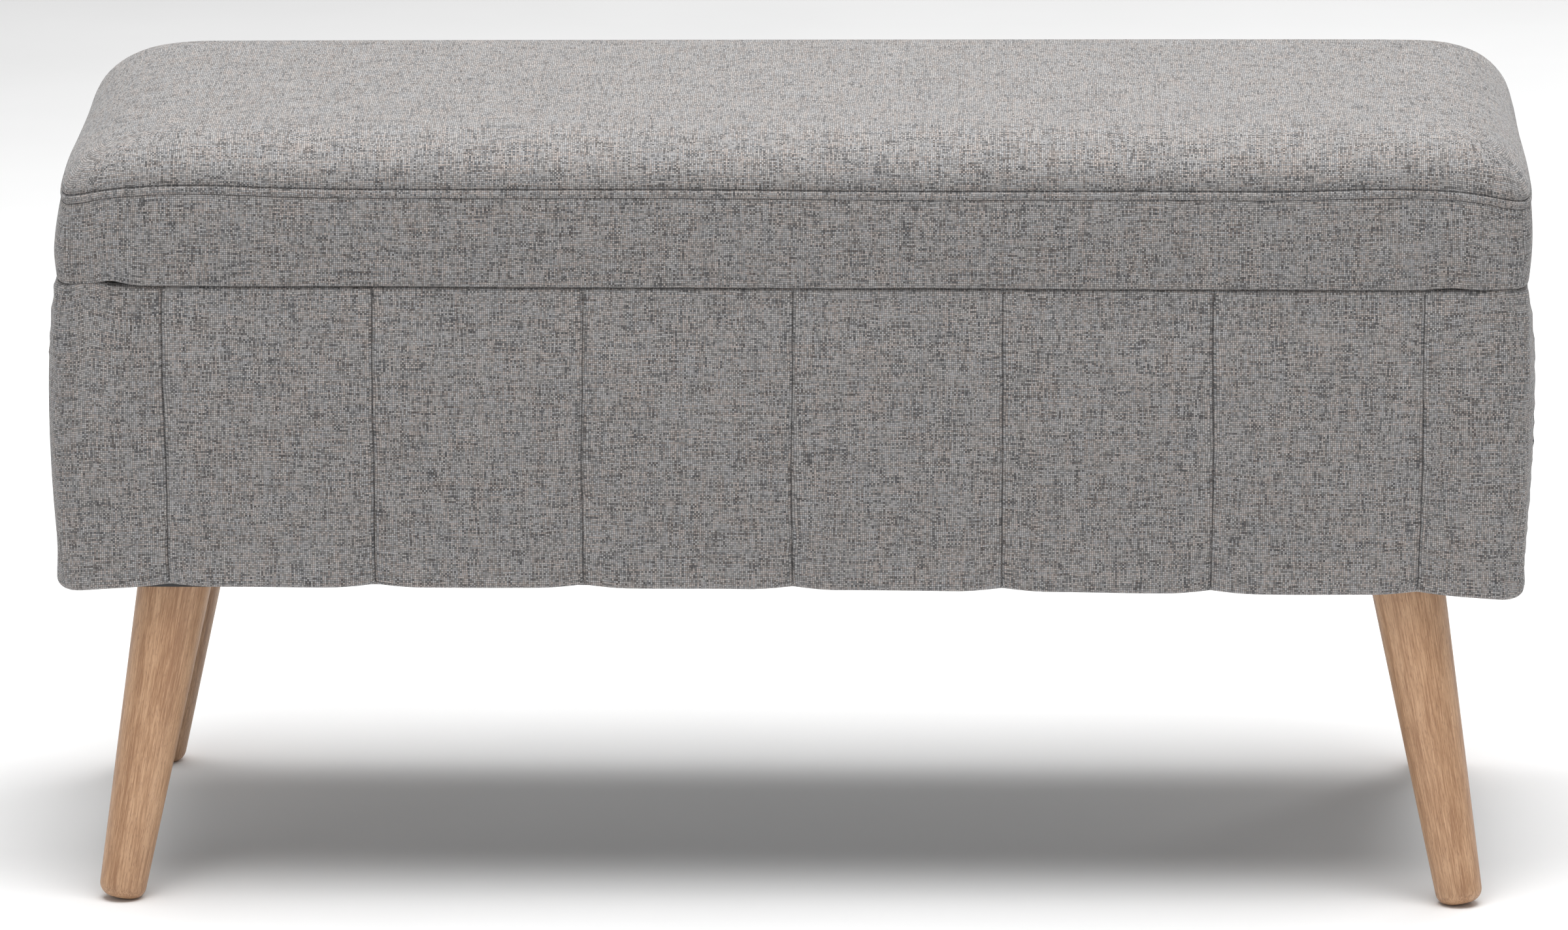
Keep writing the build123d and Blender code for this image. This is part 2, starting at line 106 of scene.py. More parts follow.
class Wire:
    """An output socket in a shader tree. Arithmetic on it adds Math nodes, node() adds any other."""

    def __init__(self, tree, socket=None):
        self.tree = tree
        self.socket = socket

    def node(self, kind, settings, sockets, out=0):
        made = self.tree.nodes.new("ShaderNode" + kind)
        for name, value in settings.items():
            if name == "stops":
                ramp = made.color_ramp.elements
                while len(ramp) < len(value):
                    ramp.new(1)
                for stop, (place, colour) in zip(ramp, value):
                    stop.position = place
                    stop.color = (*colour, 1)
            else:
                setattr(made, name, value)
        for name, value in sockets.items():
            if isinstance(value, Wire):
                self.tree.links.new(value.socket, made.inputs[name])
            else:
                made.inputs[name].default_value = value
        if isinstance(out, tuple):
            return [Wire(self.tree, made.outputs[i]) for i in out]
        return Wire(self.tree, made.outputs[out] if made.outputs else None)

    def maths(self, operation, *values):
        return self.node("Math", {"operation": operation}, dict(enumerate(values)))

    def __add__(self, other):
        return self.maths("ADD", self, other)

    def __sub__(self, other):
        return self.maths("SUBTRACT", self, other)

    def __rsub__(self, other):
        return self.maths("SUBTRACT", other, self)

    def __mul__(self, other):
        return self.maths("MULTIPLY", self, other)

    def __truediv__(self, other):
        return self.maths("DIVIDE", self, other)

    def __mod__(self, other):
        return self.maths("FLOORED_MODULO", self, other)

    __radd__ = __add__
    __rmul__ = __mul__


def finish(name, build):
    """Material whose Principled inputs are what build gives for its wires."""
    material = bpy.data.materials.new(name)
    material.use_nodes = True
    material.node_tree.nodes.clear()
    wire = Wire(material.node_tree)
    shader = wire.node("BsdfPrincipled", {}, build(wire))
    wire.node("OutputMaterial", {}, {"Surface": shader})
    return material


def dress(piece, material):
    """Puts one material on every slot of a piece."""
    if not piece.data.materials:
        piece.data.materials.append(material)
    for i in range(len(piece.material_slots)):
        piece.material_slots[i].material = material


def floor_paint(wire):
    place = wire.node("TexCoord", {}, {}, out=3)
    mottle = wire.node("TexNoise", {}, {"Vector": place, "Scale": 3.0, "Detail": 3.0})
    tone = wire.node("ValToRGB", {"stops": ((0.3, (0.90, 0.90, 0.90)), (0.7, (0.93, 0.93, 0.93)))}, {0: mottle})
    return {"Base Color": tone, "Roughness": 0.85, "Specular IOR Level": 0.2}


reach = 60
floor_mesh = bpy.data.meshes.new("floor")
floor_corners = [(-reach, -reach, 0), (reach, -reach, 0), (reach, reach, 0), (-reach, reach, 0)]
floor_mesh.from_pydata(floor_corners, [], [(0, 1, 2, 3)])
floor = bpy.data.objects.new("floor", floor_mesh)
bpy.context.scene.collection.objects.link(floor)
dress(floor, finish("floor_paint", floor_paint))
floor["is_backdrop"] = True

# ---- legs ----
# Four legs turned from solid beech, tapered to a rounded foot and finished with clear matt lacquer. Each
# hangs on an M8 hanger bolt, so its grain runs down the leg's own axis.
corners = [(y + "_" + x, i, j) for y, j in (("front", -1), ("back", 1)) for x, i in (("left", -1), ("right", 1))]


def beech(top, foot):
    """Beech whose grain runs from top to foot."""
    turn = (Vector(top) - Vector(foot)).to_track_quat("Z", "Y").inverted().to_euler()

    def build(wire):
        place = wire.node("TexCoord", {}, {}, out=3)
        place = wire.node("Mapping", {"vector_type": "TEXTURE"}, {
            "Vector": place, "Location": foot, "Rotation": turn.to_matrix().inverted().to_euler(),
        })
        x, y, z = wire.node("SeparateXYZ", {}, {0: place}, out=(0, 1, 2))

        def grain(across, along, detail, seed):
            spot = wire.node("CombineXYZ", {}, {0: x / across + seed, 1: y / across, 2: z / along})
            return wire.node("TexNoise", {}, {"Vector": spot, "Scale": 1.0, "Detail": detail, "Roughness": 0.6})

        rings = grain(9 * mm, 190 * mm, 2.0, 3.7)
        streak = grain(0.8 * mm, 48 * mm, 3.0, 11.0)
        pores = grain(0.4 * mm, 4.0 * mm, 0.0, 23.0)
        fleck = wire.node("ValToRGB", {"stops": ((0.64, (0, 0, 0)), (0.72, (1, 1, 1)))}, {0: pores})
        tone = 0.5 + (rings - 0.5) * 0.75 + (streak - 0.5) * 1.15
        wood = wire.node("ValToRGB", {"stops": (
            (0.30, (0.345, 0.180, 0.092)), (0.46, (0.450, 0.258, 0.140)),
            (0.56, (0.525, 0.315, 0.180)), (0.70, (0.600, 0.375, 0.225)),
        )}, {0: tone})
        marked = wire.node("Mix", {"data_type": "RGBA"}, {0: fleck * 0.55, 6: wood, 7: (0.26, 0.135, 0.075, 1)}, out=2)
        height = streak * 0.6 - fleck * 0.5
        return {
            "Base Color": marked,
            "Roughness": 0.42 + streak * 0.16,
            "Normal": wire.node("Bump", {}, {"Strength": 0.25, "Distance": 0.2 * mm, "Height": height}),
            "Coat Weight": 0.12,
            "Coat Roughness": 0.35,
        }

    return build


for name, i, j in corners:
    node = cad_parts[name + "_leg"]
    low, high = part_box(name + "_leg")
    outer = Vector((high.x if i > 0 else low.x, high.y if j > 0 else low.y, 0))
    inner = Vector((low.x if i > 0 else high.x, low.y if j > 0 else high.y, high.z))
    top_radius, foot_radius = 25 * mm, 15.5 * mm
    top = (inner.x + i * top_radius, inner.y + j * top_radius, high.z)
    foot = (outer.x - i * foot_radius, outer.y - j * foot_radius, 0.0)
    dress(node, finish(name + "_beech", beech(top, foot)))

# ---- leg plates, bolts and screws ----
# A pressed steel plate under each corner, powder coated black, with a threaded boss for the zinc-plated
# hanger bolt and four countersunk screws up into the bottom board.


def coated(colour, roughness, grit):
    """Powder coat with an orange-peel surface."""

    def build(wire):
        place = wire.node("TexCoord", {}, {}, out=3)
        peel = wire.node("TexNoise", {}, {"Vector": place, "Scale": 1 / grit, "Detail": 2.0})
        wear = wire.node("TexNoise", {}, {"Vector": place, "Scale": 60.0, "Detail": 4.0})
        tone = wire.node("ValToRGB", {"stops": (
            (0.35, tuple(0.75 * c for c in colour)), (0.65, tuple(1.35 * c for c in colour)),
        )}, {0: wear})
        return {
            "Base Color": tone,
            "Roughness": roughness - 0.08 + wear * 0.16,
            "Normal": wire.node("Bump", {}, {"Strength": 0.3, "Distance": 0.05 * mm, "Height": peel}),
        }

    return build


def plated(colour, roughness, brush):
    """Zinc or chrome plate with fine wipe marks and slight clouding."""

    def build(wire):
        place = wire.node("TexCoord", {}, {}, out=3)
        marks = wire.node("TexNoise", {}, {"Vector": wire.node("VectorMath", {"operation": "MULTIPLY"}, {
            0: place, 1: (1 / brush, 0.15 / brush, 1 / brush),
        }), "Scale": 1.0, "Detail": 3.0})
        cloud = wire.node("TexNoise", {}, {"Vector": place, "Scale": 90.0, "Detail": 2.0})
        tone = wire.node("ValToRGB", {"stops": (
            (0.3, tuple(0.82 * c for c in colour)), (0.7, colour),
        )}, {0: cloud})
        return {
            "Base Color": tone,
            "Metallic": 1.0,
            "Roughness": roughness + marks * 0.2,
            "Normal": wire.node("Bump", {}, {"Strength": 0.12, "Distance": 0.03 * mm, "Height": marks}),
        }

    return build


black_coat = finish("black_powder_coat", coated((0.020, 0.020, 0.021), 0.45, 0.8 * mm))
zinc = finish("zinc_plate", plated((0.62, 0.64, 0.67), 0.22, 0.5 * mm))
for name, i, j in corners:
    dress(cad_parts[name + "_leg_plate"], black_coat)
dress(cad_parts["hanger_bolts"], zinc)

# ---- boards ----
# Raw fibreboard panels screwed into a box, and the board that carries the seat.


def fibreboard(wire):
    place = wire.node("TexCoord", {}, {}, out=3)
    fibre = wire.node("TexNoise", {}, {"Vector": place, "Scale": 900.0, "Detail": 4.0})
    cloud = wire.node("TexNoise", {}, {"Vector": place, "Scale": 25.0, "Detail": 3.0})
    tone = wire.node("ValToRGB", {"stops": (
        (0.3, (0.30, 0.20, 0.115)), (0.5, (0.42, 0.29, 0.17)), (0.7, (0.52, 0.38, 0.24)),
    )}, {0: fibre * 0.6 + cloud * 0.4})
    return {
        "Base Color": tone,
        "Roughness": 0.8,
        "Normal": wire.node("Bump", {}, {"Strength": 0.2, "Distance": 0.1 * mm, "Height": fibre}),
    }


board = finish("fibreboard", fibreboard)
for name in ("front_panel", "back_panel", "left_panel", "right_panel", "bottom_panel", "lid_board"):
    dress(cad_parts[name], board)

# ---- box cover ----
# Plain woven melange cloth in one wrap round the box, sewn through the foam in upright channels, turned in
# over the walls at the top and stapled under the bottom board. The foam swells between the seams.
cloth_thick = 1.2 * mm
thread_pitch = 1.27 * mm
half_length = (cad_high.x - cad_low.x) / 2
half_depth = (cad_high.y - cad_low.y) / 2
box_bottom, box_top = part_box("box_cover")[0].z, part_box("box_cover")[1].z
board_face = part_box("left_panel")[0].x + half_length
box_corner = 25 * mm
rim_reach = 27.6 * mm  # the cloth goes over the wall and a little way down inside it
rim_drop = 11 * mm
hem_reach = 30 * mm
channel_pitch = 141 * mm
channel_shift = 2 * mm
rim_rise = 0.7 * mm
rim_round = 5.5 * mm
bottom_round = 5.5 * mm
belly_at = 0.60  # of the wall's height, where the padding stands proudest
belly_out = 1.6 * mm
belly_low = 7.6 * mm
belly_high = 7.2 * mm
low_swell, high_swell = 2.1, 2.6  # how sharply the wall draws in towards its bottom and its top
seam_depth = 7.5 * mm
seam_half = 1.05 * mm
column_step = 7 * mm


class Ring:
    """Columns round a rounded rectangle, from the middle of the back, seen from above anticlockwise. Every
    column has its place along the way round, its outward direction and the core point that it fans from."""

    def __init__(self, half_x, half_y, corner, step, seams_x, seams_y, near):
        self.size = (half_x, half_y, corner)
        rows = []
        straight_x, straight_y = half_x - corner, half_y - corner
        arc = corner * pi / 2
        way = 0.0
        for side, (cx, cy, dx, dy, length, seams) in enumerate((
            (-1, 1, 0, -2, straight_y, seams_y), (-1, -1, 2, 0, straight_x, seams_x),
            (1, -1, 0, 2, straight_y, seams_y), (1, 1, -2, 0, straight_x, seams_x),
        )):
            places = set(np.round(np.linspace(0, 2 * length, int(2 * length / step) + 1), 6))
            flip = -1 if dx < 0 or dy < 0 else 1
            marks = [length + flip * s for s in seams]
            for mark in marks:
                places = {p for p in places if abs(p - mark) > near[-1] * 1.02}
                places |= {round(mark + s * n, 6) for n in near for s in (-1, 1)}
            for p in sorted(places):
                t = p / (2 * length)
                seam = min((abs(p - m) for m in marks), default=1.0)
                nx, ny = (dy / 2, -dx / 2)
                rows.append((way + p, cx + dx * t, cy + dy * t, nx, ny, seam, side, 0.0))
            way += 2 * length
            start = atan2(-dx / 2, dy / 2)
            steps = max(8, int(arc / 3e-3))
            for k in range(1, steps):
                a = start + pi / 2 * k / steps
                ex, ey = cx + dx, cy + dy
                rows.append((way + arc * k / steps, ex, ey, cos(a), sin(a), 1.0, side, sin(pi * k / steps)))
            way += arc
        self.length = way
        self.way, self.cx, self.cy, self.nx, self.ny, self.seam, self.side, self.turn = np.array(rows).T

    def wrap(self, inset, height):
        """Points at an inset from the outline and a height, for every column by every row."""
        half_x, half_y, corner = self.size
        core = np.maximum(corner, inset + 0.3 * mm)
        x = self.cx[:, None] * (half_x - core) + self.nx[:, None] * (core - inset)
        y = self.cy[:, None] * (half_y - core) + self.ny[:, None] * (core - inset)
        return np.stack([x, y, height + 0 * x], 2)


def waves(at, seed, *lengths):
    """Gentle unevenness, between about -1 and 1, along a line."""
    draw = np.random.default_rng(seed)
    total = 0
    for length in lengths:
        total = total + draw.uniform(0.6, 1) * np.sin(2 * pi * at / length + draw.uniform(0, 2 * pi))
    return total / len(lengths)


def cubic(values, at, wraps):
    """Values along axis 0 read between their places, smoothly."""
    count = len(values)
    low = np.floor(at).astype(int)
    t = (at - low).reshape(-1, *[1] * (values.ndim - 1))

    def pick(k):
        return values[(low + k) % count if wraps else np.clip(low + k, 0, count - 1)]

    a, b, c, d = pick(-1), pick(0), pick(1), pick(2)
    return b + 0.5 * t * (c - a + t * (2 * a - 5 * b + 4 * c - d + t * (3 * (b - c) + d - a)))


def grid_faces(columns, rows, wraps):
    """Quads of a grid whose points run row by row within each column."""
    index = np.arange(columns * rows).reshape(columns, rows)
    if wraps:
        index = np.concatenate([index, index[:1]])
    a, b, c, d = index[:-1, :-1], index[1:, :-1], index[1:, 1:], index[:-1, 1:]
    return np.stack([a, b, c, d], -1).reshape(-1, 4)


def piece_from(name, points, faces, uv=None):
    """Object from points and faces, shaded smooth, with the cloth's flat lay as its thread map."""
    mesh = bpy.data.meshes.new(name)
    mesh.from_pydata(points.tolist(), [], faces.tolist())
    mesh.shade_smooth()
    if uv is not None:
        layer = mesh.uv_layers.new(name="threads")
        layer.data.foreach_set("uv", uv.astype(np.float32).ravel())
    piece = bpy.data.objects.new(name, mesh)
    bpy.context.scene.collection.objects.link(piece)
    return piece


def cloth_grid(name, grid, lay, wraps, way=0.0):
    """Cloth piece from a grid of points and their lay on the flat cloth. On a ring the last faces carry the
    lay on past the way round."""
    columns, rows = grid.shape[:2]
    faces = grid_faces(columns, rows, wraps)
    uv = lay.reshape(-1, 2)[faces]
    if wraps:
        uv[-(rows - 1):, 1:3, 0] += way
    return piece_from(name, grid.reshape(-1, 3), faces, uv.reshape(-1, 2))


def thicken(piece, thickness):
    """Gives a sheet its thickness, on its inner side."""
    solid = piece.modifiers.new("thickness", "SOLIDIFY")
    solid.thickness = thickness
    solid.offset = -1.0
    solid.use_rim = True


def settle(grid, held, wraps, push, give, cap):
    """How far cloth moves from a grid's shape when the padding pushes it out, held at some points."""
    columns, rows = grid.shape[:2]
    piece = piece_from("settling", grid.reshape(-1, 3), grid_faces(columns, rows, wraps))
    pins = piece.vertex_groups.new(name="held")
    pins.add(np.flatnonzero(held.ravel()).tolist(), 1.0, "REPLACE")
    cloth = piece.modifiers.new("cloth", "CLOTH")
    cloth.settings.quality = 6
    cloth.settings.mass = 0.2
    cloth.settings.tension_stiffness = 25
    cloth.settings.compression_stiffness = 25
    cloth.settings.shear_stiffness = 8
    cloth.settings.bending_stiffness = 0.4
    cloth.settings.use_pressure = True
    cloth.settings.uniform_pressure_force = push
    cloth.settings.shrink_min = -give
    cloth.settings.vertex_group_mass = "held"
    cloth.settings.effector_weights.gravity = 0
    cloth.collision_settings.use_collision = False
    cloth.point_cache.frame_start = 1
    cloth.point_cache.frame_end = 20
    for moment in range(1, 21):
        bpy.context.scene.frame_set(moment)
    settled = piece.evaluated_get(bpy.context.evaluated_depsgraph_get()).data
    points = np.empty(columns * rows * 3, np.float32)
    settled.vertices.foreach_get("co", points)
    moved = points.reshape(grid.shape) - grid
    bpy.context.scene.frame_set(1)
    bpy.data.objects.remove(piece)
    far = np.linalg.norm(moved, axis=2, keepdims=True)
    return moved * (cap * np.tanh(far / cap) / np.maximum(far, 1e-9))


seam_near = [s * mm for s in (0, 0.4, 0.9, 1.7, 3.0, 5.0, 8.0)]
seam_places_x = [channel_pitch * k + channel_shift for k in range(-3, 4)]
seam_places_y = [channel_pitch * k for k in range(-1, 2)]
box_ring = Ring(half_length, half_depth, box_corner, column_step, seam_places_x, seam_places_y, seam_near)
seam_lean = 3.0 * mm  # how far the outer front seams lean in at the bottom


def hinge_side(ring):
    """1 along the back, where the rim stays low for the hinges, and 0 elsewhere."""
    return np.clip((ring.ny - 0.3) / 0.5, 0, 1)


def corner_hump(ring):
    """Where the padding bunches up at the top corners, most at the front left."""
    front_left = np.exp(-(((ring.way - ring.way[ring.side == 1][0] - 6 * mm) / (11 * mm)) ** 2))
    front_right = np.exp(-(((ring.way - ring.way[ring.side == 2][0] + 34 * mm) / (12 * mm)) ** 2))
    return 3.6 * mm * front_left + 1.6 * mm * front_right


def box_profile():
    """Insets and heights from the rim's inner edge over the top, down the wall and in under the bottom, for
    every column of the cover's outer face."""
    ring = box_ring
    free = 1 - hinge_side(ring)
    rim = box_top + free * (rim_rise + 0.25 * mm * waves(ring.way, 3, 0.21, 0.13)) + corner_hump(ring)
    panel = np.clip(ring.seam / (channel_pitch / 2), 0, 1)
    scallop = 1.3 * mm - 2.6 * mm * np.sin(pi / 2 * np.minimum(panel * 2.2, 1))
    low = box_bottom + np.where(ring.turn > 0, -1.3 * mm, scallop) - 3.6 * mm * corner_near(ring, 40 * mm)
    right_front = np.clip((ring.cx * half_length + 0.05) / 0.4, 0, 1) * (ring.ny < -0.3)
    low = low + 0.3 * mm * waves(ring.way, 8, 0.31, 0.11) - 2.4 * mm * right_front
    wall_rows = np.linspace(0, 1, 31)[1:-1]
    top_inset = belly_high - belly_out
    low_inset = belly_low * 0.93 - belly_out
    inset, height = [], []
    for t in (1.0, 0.6, 0.25):  # down inside the wall
        inset.append(rim_reach + 0 * rim)
        height.append(box_top - rim_drop * t)
    for t in (0.1, 0.4, 0.75, 1.0):  # over its inner edge
        inset.append(rim_reach - 2 * mm * (1 - cos(t * pi / 2)))
        height.append(box_top - 2 * mm * (1 - sin(t * pi / 2)))
    for t in (0.25, 0.5, 0.75):  # along its top
        inset.append(rim_reach - 2 * mm + (top_inset + rim_round - rim_reach + 2 * mm) * t + 0 * rim)
        height.append(box_top + (rim - box_top) * t ** 2)
    for t in np.linspace(0, 1, 7):  # rolled top edge
        inset.append(top_inset + rim_round * (1 - sin(t * pi / 2)) + 0 * rim)
        height.append(rim - rim_round * (1 - cos(t * pi / 2)))
    top_z, bottom_z = rim - rim_round, low + bottom_round
    for t in wall_rows:
        z = top_z + (bottom_z - top_z) * t
        h = (z - low) / (rim - low)
        below = belly_low * (np.clip(belly_at - h, 0, 1) / belly_at) ** low_swell
        above_span = 1 - belly_at - rim_round / (box_top - box_bottom)
        above = belly_high * (np.clip(h - belly_at, 0, 1) / above_span) ** high_swell
        inset.append(below + above - belly_out)
        height.append(z)
    for t in np.linspace(0, 1, 7):  # rolled bottom edge
        inset.append(low_inset + bottom_round * (1 - cos(t * pi / 2)))
        height.append(low + bottom_round * (1 - sin(t * pi / 2)))
    for reach_in, t in ((low_inset + bottom_round + 1.4 * mm, 0.4), (14 * mm, 1), (20 * mm, 1), (hem_reach, 1)):
        inset.append(reach_in + 0 * rim)  # turned in under the bottom
        height.append(low + (box_bottom - low) * t)
    return np.stack(np.broadcast_arrays(*inset), 1), np.stack(np.broadcast_arrays(*height), 1)


def corner_near(ring, width):
    """1 at the corners, falling to 0 over a width along the sides."""
    starts = [ring.way[ring.side == s][ring.turn[ring.side == s] > 0].mean() for s in range(4)]
    away = np.min([np.abs((ring.way - s + ring.length / 2) % ring.length - ring.length / 2) for s in starts], 0)
    return np.exp(-((away / width) ** 2))


box_inset, box_height = box_profile()
wall_first, wall_last = 13, box_inset.shape[1] - 8

# The padding swells the cover between its seams: a coarse wrap without the fine columns beside the seams is
# settled, held along its top, its bottom and every seam, and how far it moved is read back for the fine one.
coarse = Ring(half_length, half_depth, box_corner, column_step, seam_places_x, seam_places_y, [0.0])
coarse_at = np.interp(coarse.way, box_ring.way, np.arange(len(box_ring.way)))
coarse_wrap = cubic(box_ring.wrap(box_inset, box_height), coarse_at, True)[:, wall_first:wall_last]
held = np.zeros(coarse_wrap.shape[:2], bool)
held[:, :2] = held[:, -2:] = True
held[coarse.seam < 1e-4] = True
moved = settle(coarse_wrap, held, True, 5.0, 0.006, 3.5 * mm)
moved = cubic(moved, np.interp(box_ring.way, coarse.way, np.arange(len(coarse.way))), True)

down = np.clip((np.arange(box_inset.shape[1]) - wall_first) / (wall_last - wall_first), 0, 1)[None, :]
groove = np.exp(-((box_ring.seam / seam_half) ** 1.3))[:, None] * seam_depth
fade = np.clip(down / 0.04, 0, 1) * np.clip((1 - down) / 0.07, 0, 1) ** 0.7


def place_wrap(deeper, hollow):
    """The cover's shape a little deeper in, with its seams hollowed to a depth."""
    grid = box_ring.wrap(box_inset + deeper + groove * fade * hollow, box_height)
    grid[:, wall_first:wall_last] += moved
    x = grid[:, :, 0]
    sway = 1.2 * mm * waves(down * 0.2 + box_ring.way[:, None] * 7, 5, 0.31, 0.17)
    lean = -seam_lean * down ** 2 * np.clip((np.abs(x) - 0.24) / 0.2, 0, 1) * np.sign(x)
    near_seam = (np.abs(box_ring.ny) > 0.99)[:, None] * np.exp(-((box_ring.seam / (30 * mm)) ** 2))[:, None]
    grid[:, :, 0] += (lean + sway * np.sin(pi * down)) * near_seam
    return grid


box_grid = place_wrap(0, 1)

steps = np.linalg.norm(np.diff(box_grid, axis=1), axis=2).mean(0)
fall = -np.concatenate([[0], np.cumsum(steps)])
lay = np.stack(np.broadcast_arrays(box_ring.way[:, None], fall[None, :]), 2)
box_cover = cloth_grid("box_cover_cloth", box_grid, lay, True, box_ring.length)
thicken(box_cover, cloth_thick)


def melange(wire):
    """Plain weave of yarns spun from dark and light fibres, a few threads near black for part of their way, with
    painted shade in the gaps between threads.
    """
    place = wire.node("UVMap", {"uv_map": "threads"}, {})
    drift = wire.node("TexNoise", {"noise_dimensions": "2D"}, {
        "Vector": place, "Scale": 38.0, "Detail": 2.0,
    }, out=1)
    place = wire.node("VectorMath", {"operation": "MULTIPLY_ADD"}, {0: drift, 1: (2.4 * mm, 2.4 * mm, 0), 2: place})
    u, v = wire.node("SeparateXYZ", {}, {0: place}, out=(0, 1))
    across, rise = u / thread_pitch, v / thread_pitch
    column, row = wire.maths("FLOOR", across), wire.maths("FLOOR", rise)
    side, end = across - column - 0.5, rise - row - 0.5
    upright = (column + row) % 2
    level = 1 - upright
    bow = wire.maths("COSINE", side * pi)
    sag = wire.maths("COSINE", end * pi)
    height = upright * bow * (sag * 0.45 + 0.55) + level * sag * (bow * 0.45 + 0.55)
    thread = upright * column + level * (row + 517.5)
    along_it = upright * v + level * u

    def yarn(step, reach, seed, detail=0.0):
        spot = wire.node("CombineXYZ", {}, {0: thread * step + seed, 1: along_it / reach})
        return wire.node("TexNoise", {"noise_dimensions": "2D"}, {"Vector": spot, "Scale": 1.0, "Detail": detail})

    fibre = yarn(1.618, 2.6 * mm, 3.1, 1.0)
    slub = yarn(2.382, 15 * mm, 71.3)
    hue = yarn(3.618, 30 * mm, 19.7)
    cell = wire.node("TexWhiteNoise", {"noise_dimensions": "2D"}, {
        "Vector": wire.node("CombineXYZ", {}, {0: column, 1: row}),
    })
    cloud = wire.node("TexNoise", {"noise_dimensions": "2D"}, {"Vector": place, "Scale": 22.0, "Detail": 2.0})
    dark = wire.node("ValToRGB", {"stops": ((0.68, (0, 0, 0)), (0.71, (1, 1, 1)))}, {0: slub})
    tone = 0.52 + (fibre - 0.5) * 0.26 + (cell - 0.5) * 0.40 + (cloud - 0.5) * 0.04
    tone = tone - dark * (0.14 + cell * 0.26)
    yarns = wire.node("ValToRGB", {"stops": (
        (0.0, (0.030, 0.030, 0.032)), (0.24, (0.135, 0.131, 0.130)), (0.50, (0.335, 0.322, 0.313)),
        (0.74, (0.455, 0.438, 0.426)), (1.0, (0.60, 0.58, 0.565)),
    )}, {0: tone})
    tint = wire.node("ValToRGB", {"stops": (
        (0.36, (0.96, 0.99, 1.03)), (0.46, (1.0, 1.0, 1.0)), (0.56, (1.0, 1.0, 1.0)), (0.68, (1.06, 0.98, 0.94)),
    )}, {0: hue})
    tinted = wire.node("Mix", {"data_type": "RGBA", "blend_type": "MULTIPLY"}, {0: 1.0, 6: yarns, 7: tint}, out=2)
    # Painted shade: the colour darkens towards each thread's edges and in the gaps between threads, where the weave's
    # profile is low.
    painted_gap_shade = 0.26 + height * 0.92
    shade = wire.node("CombineColor", {}, {0: painted_gap_shade, 1: painted_gap_shade, 2: painted_gap_shade})
    shaded = wire.node("Mix", {"data_type": "RGBA", "blend_type": "MULTIPLY"}, {0: 1.0, 6: tinted, 7: shade}, out=2)
    fuzz = wire.node("TexNoise", {"noise_dimensions": "2D"}, {"Vector": place, "Scale": 2600.0, "Detail": 2.0})
    return {
        "Base Color": shaded,
        "Roughness": 0.92,
        "Sheen Weight": 0.22,
        "Sheen Roughness": 0.45,
        "Specular IOR Level": 0.25,
        "Normal": wire.node("Bump", {}, {"Strength": 0.55, "Distance": 0.35 * mm, "Height": height + fuzz * 0.25}),
    }


cover_cloth = finish("melange_cloth", melange)
dress(box_cover, cover_cloth)
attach(box_cover, "box")
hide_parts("box_cover")

# ---- wall padding ----
# Four cut pieces of soft polyurethane foam glued to the outside of the wall boards, one a side, meeting at
# the corners. They fill the cover and follow its channels.
foam_gap = 0.2 * mm


def slab(name, outer, inner):
    """Closed piece between an outer grid and an inner grid of the same size, its faces turned outwards."""
    columns, rows = outer.shape[:2]
    skin = grid_faces(columns, rows, False)
    back = skin[:, ::-1] + columns * rows
    loop = np.arange(columns * rows).reshape(columns, rows)
    loop = np.concatenate([loop[:, 0], loop[-1, 1:], loop[-2::-1, -1], loop[0, -2::-1]])
    start, end = loop[:-1], loop[1:]
    rim = np.stack([start + columns * rows, end + columns * rows, end, start], 1)
    points = np.concatenate([outer.reshape(-1, 3), inner.reshape(-1, 3)])
    faces = np.concatenate([skin, back, rim])
    one, two, three, four = (points[faces[:, k]] for k in range(4))
    inside_out = (one * (np.cross(two, three) + np.cross(three, four))).sum() < 0
    return piece_from(name, points, faces[:, ::-1] if inside_out else faces)


def open_cell(wire):
    """Cream polyurethane foam with open pores, with painted shade in the pores' hollows."""
    place = wire.node("TexCoord", {}, {}, out=3)
    pores = wire.node("TexVoronoi", {}, {"Vector": place, "Scale": 900.0})
    cloud = wire.node("TexNoise", {}, {"Vector": place, "Scale": 30.0, "Detail": 3.0})
    # Painted shade: the colour darkens towards each pore's middle, where the bump sinks; the cloud is the foam's own
    # uneven tone.
    tone = wire.node("ValToRGB", {"stops": (
        (0.25, (0.62, 0.55, 0.38)), (0.55, (0.80, 0.74, 0.56)), (0.8, (0.86, 0.81, 0.65)),
    )}, {0: pores * 0.5 + cloud * 0.6})
    return {
        "Base Color": tone,
        "Roughness": 0.95,
        "Normal": wire.node("Bump", {}, {"Strength": 0.5, "Distance": 0.4 * mm, "Height": pores}),
    }


foam = finish("open_cell_foam", open_cell)
pad_outer = place_wrap(cloth_thick + foam_gap, 1.0)
pad_inner = box_ring.wrap(board_face + foam_gap + 0 * box_inset, box_height)
mitres = [int(np.flatnonzero(box_ring.side == k)[np.argmax(box_ring.turn[box_ring.side == k])]) for k in range(4)]
pad_rows = slice(wall_first, wall_last)
for k, (first, last) in enumerate(zip(mitres[3:] + mitres[:3], mitres)):
    columns = np.arange(first, last + (len(box_ring.way) if last < first else 0) + 1)[1:-1] % len(box_ring.way)
    name = ("left", "front", "right", "back")[k] + "_padding"
    pad = slab(name + "_foam", pad_outer[columns, pad_rows], pad_inner[columns, pad_rows])
    dress(pad, foam)
    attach(pad, "box")
    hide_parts(name)

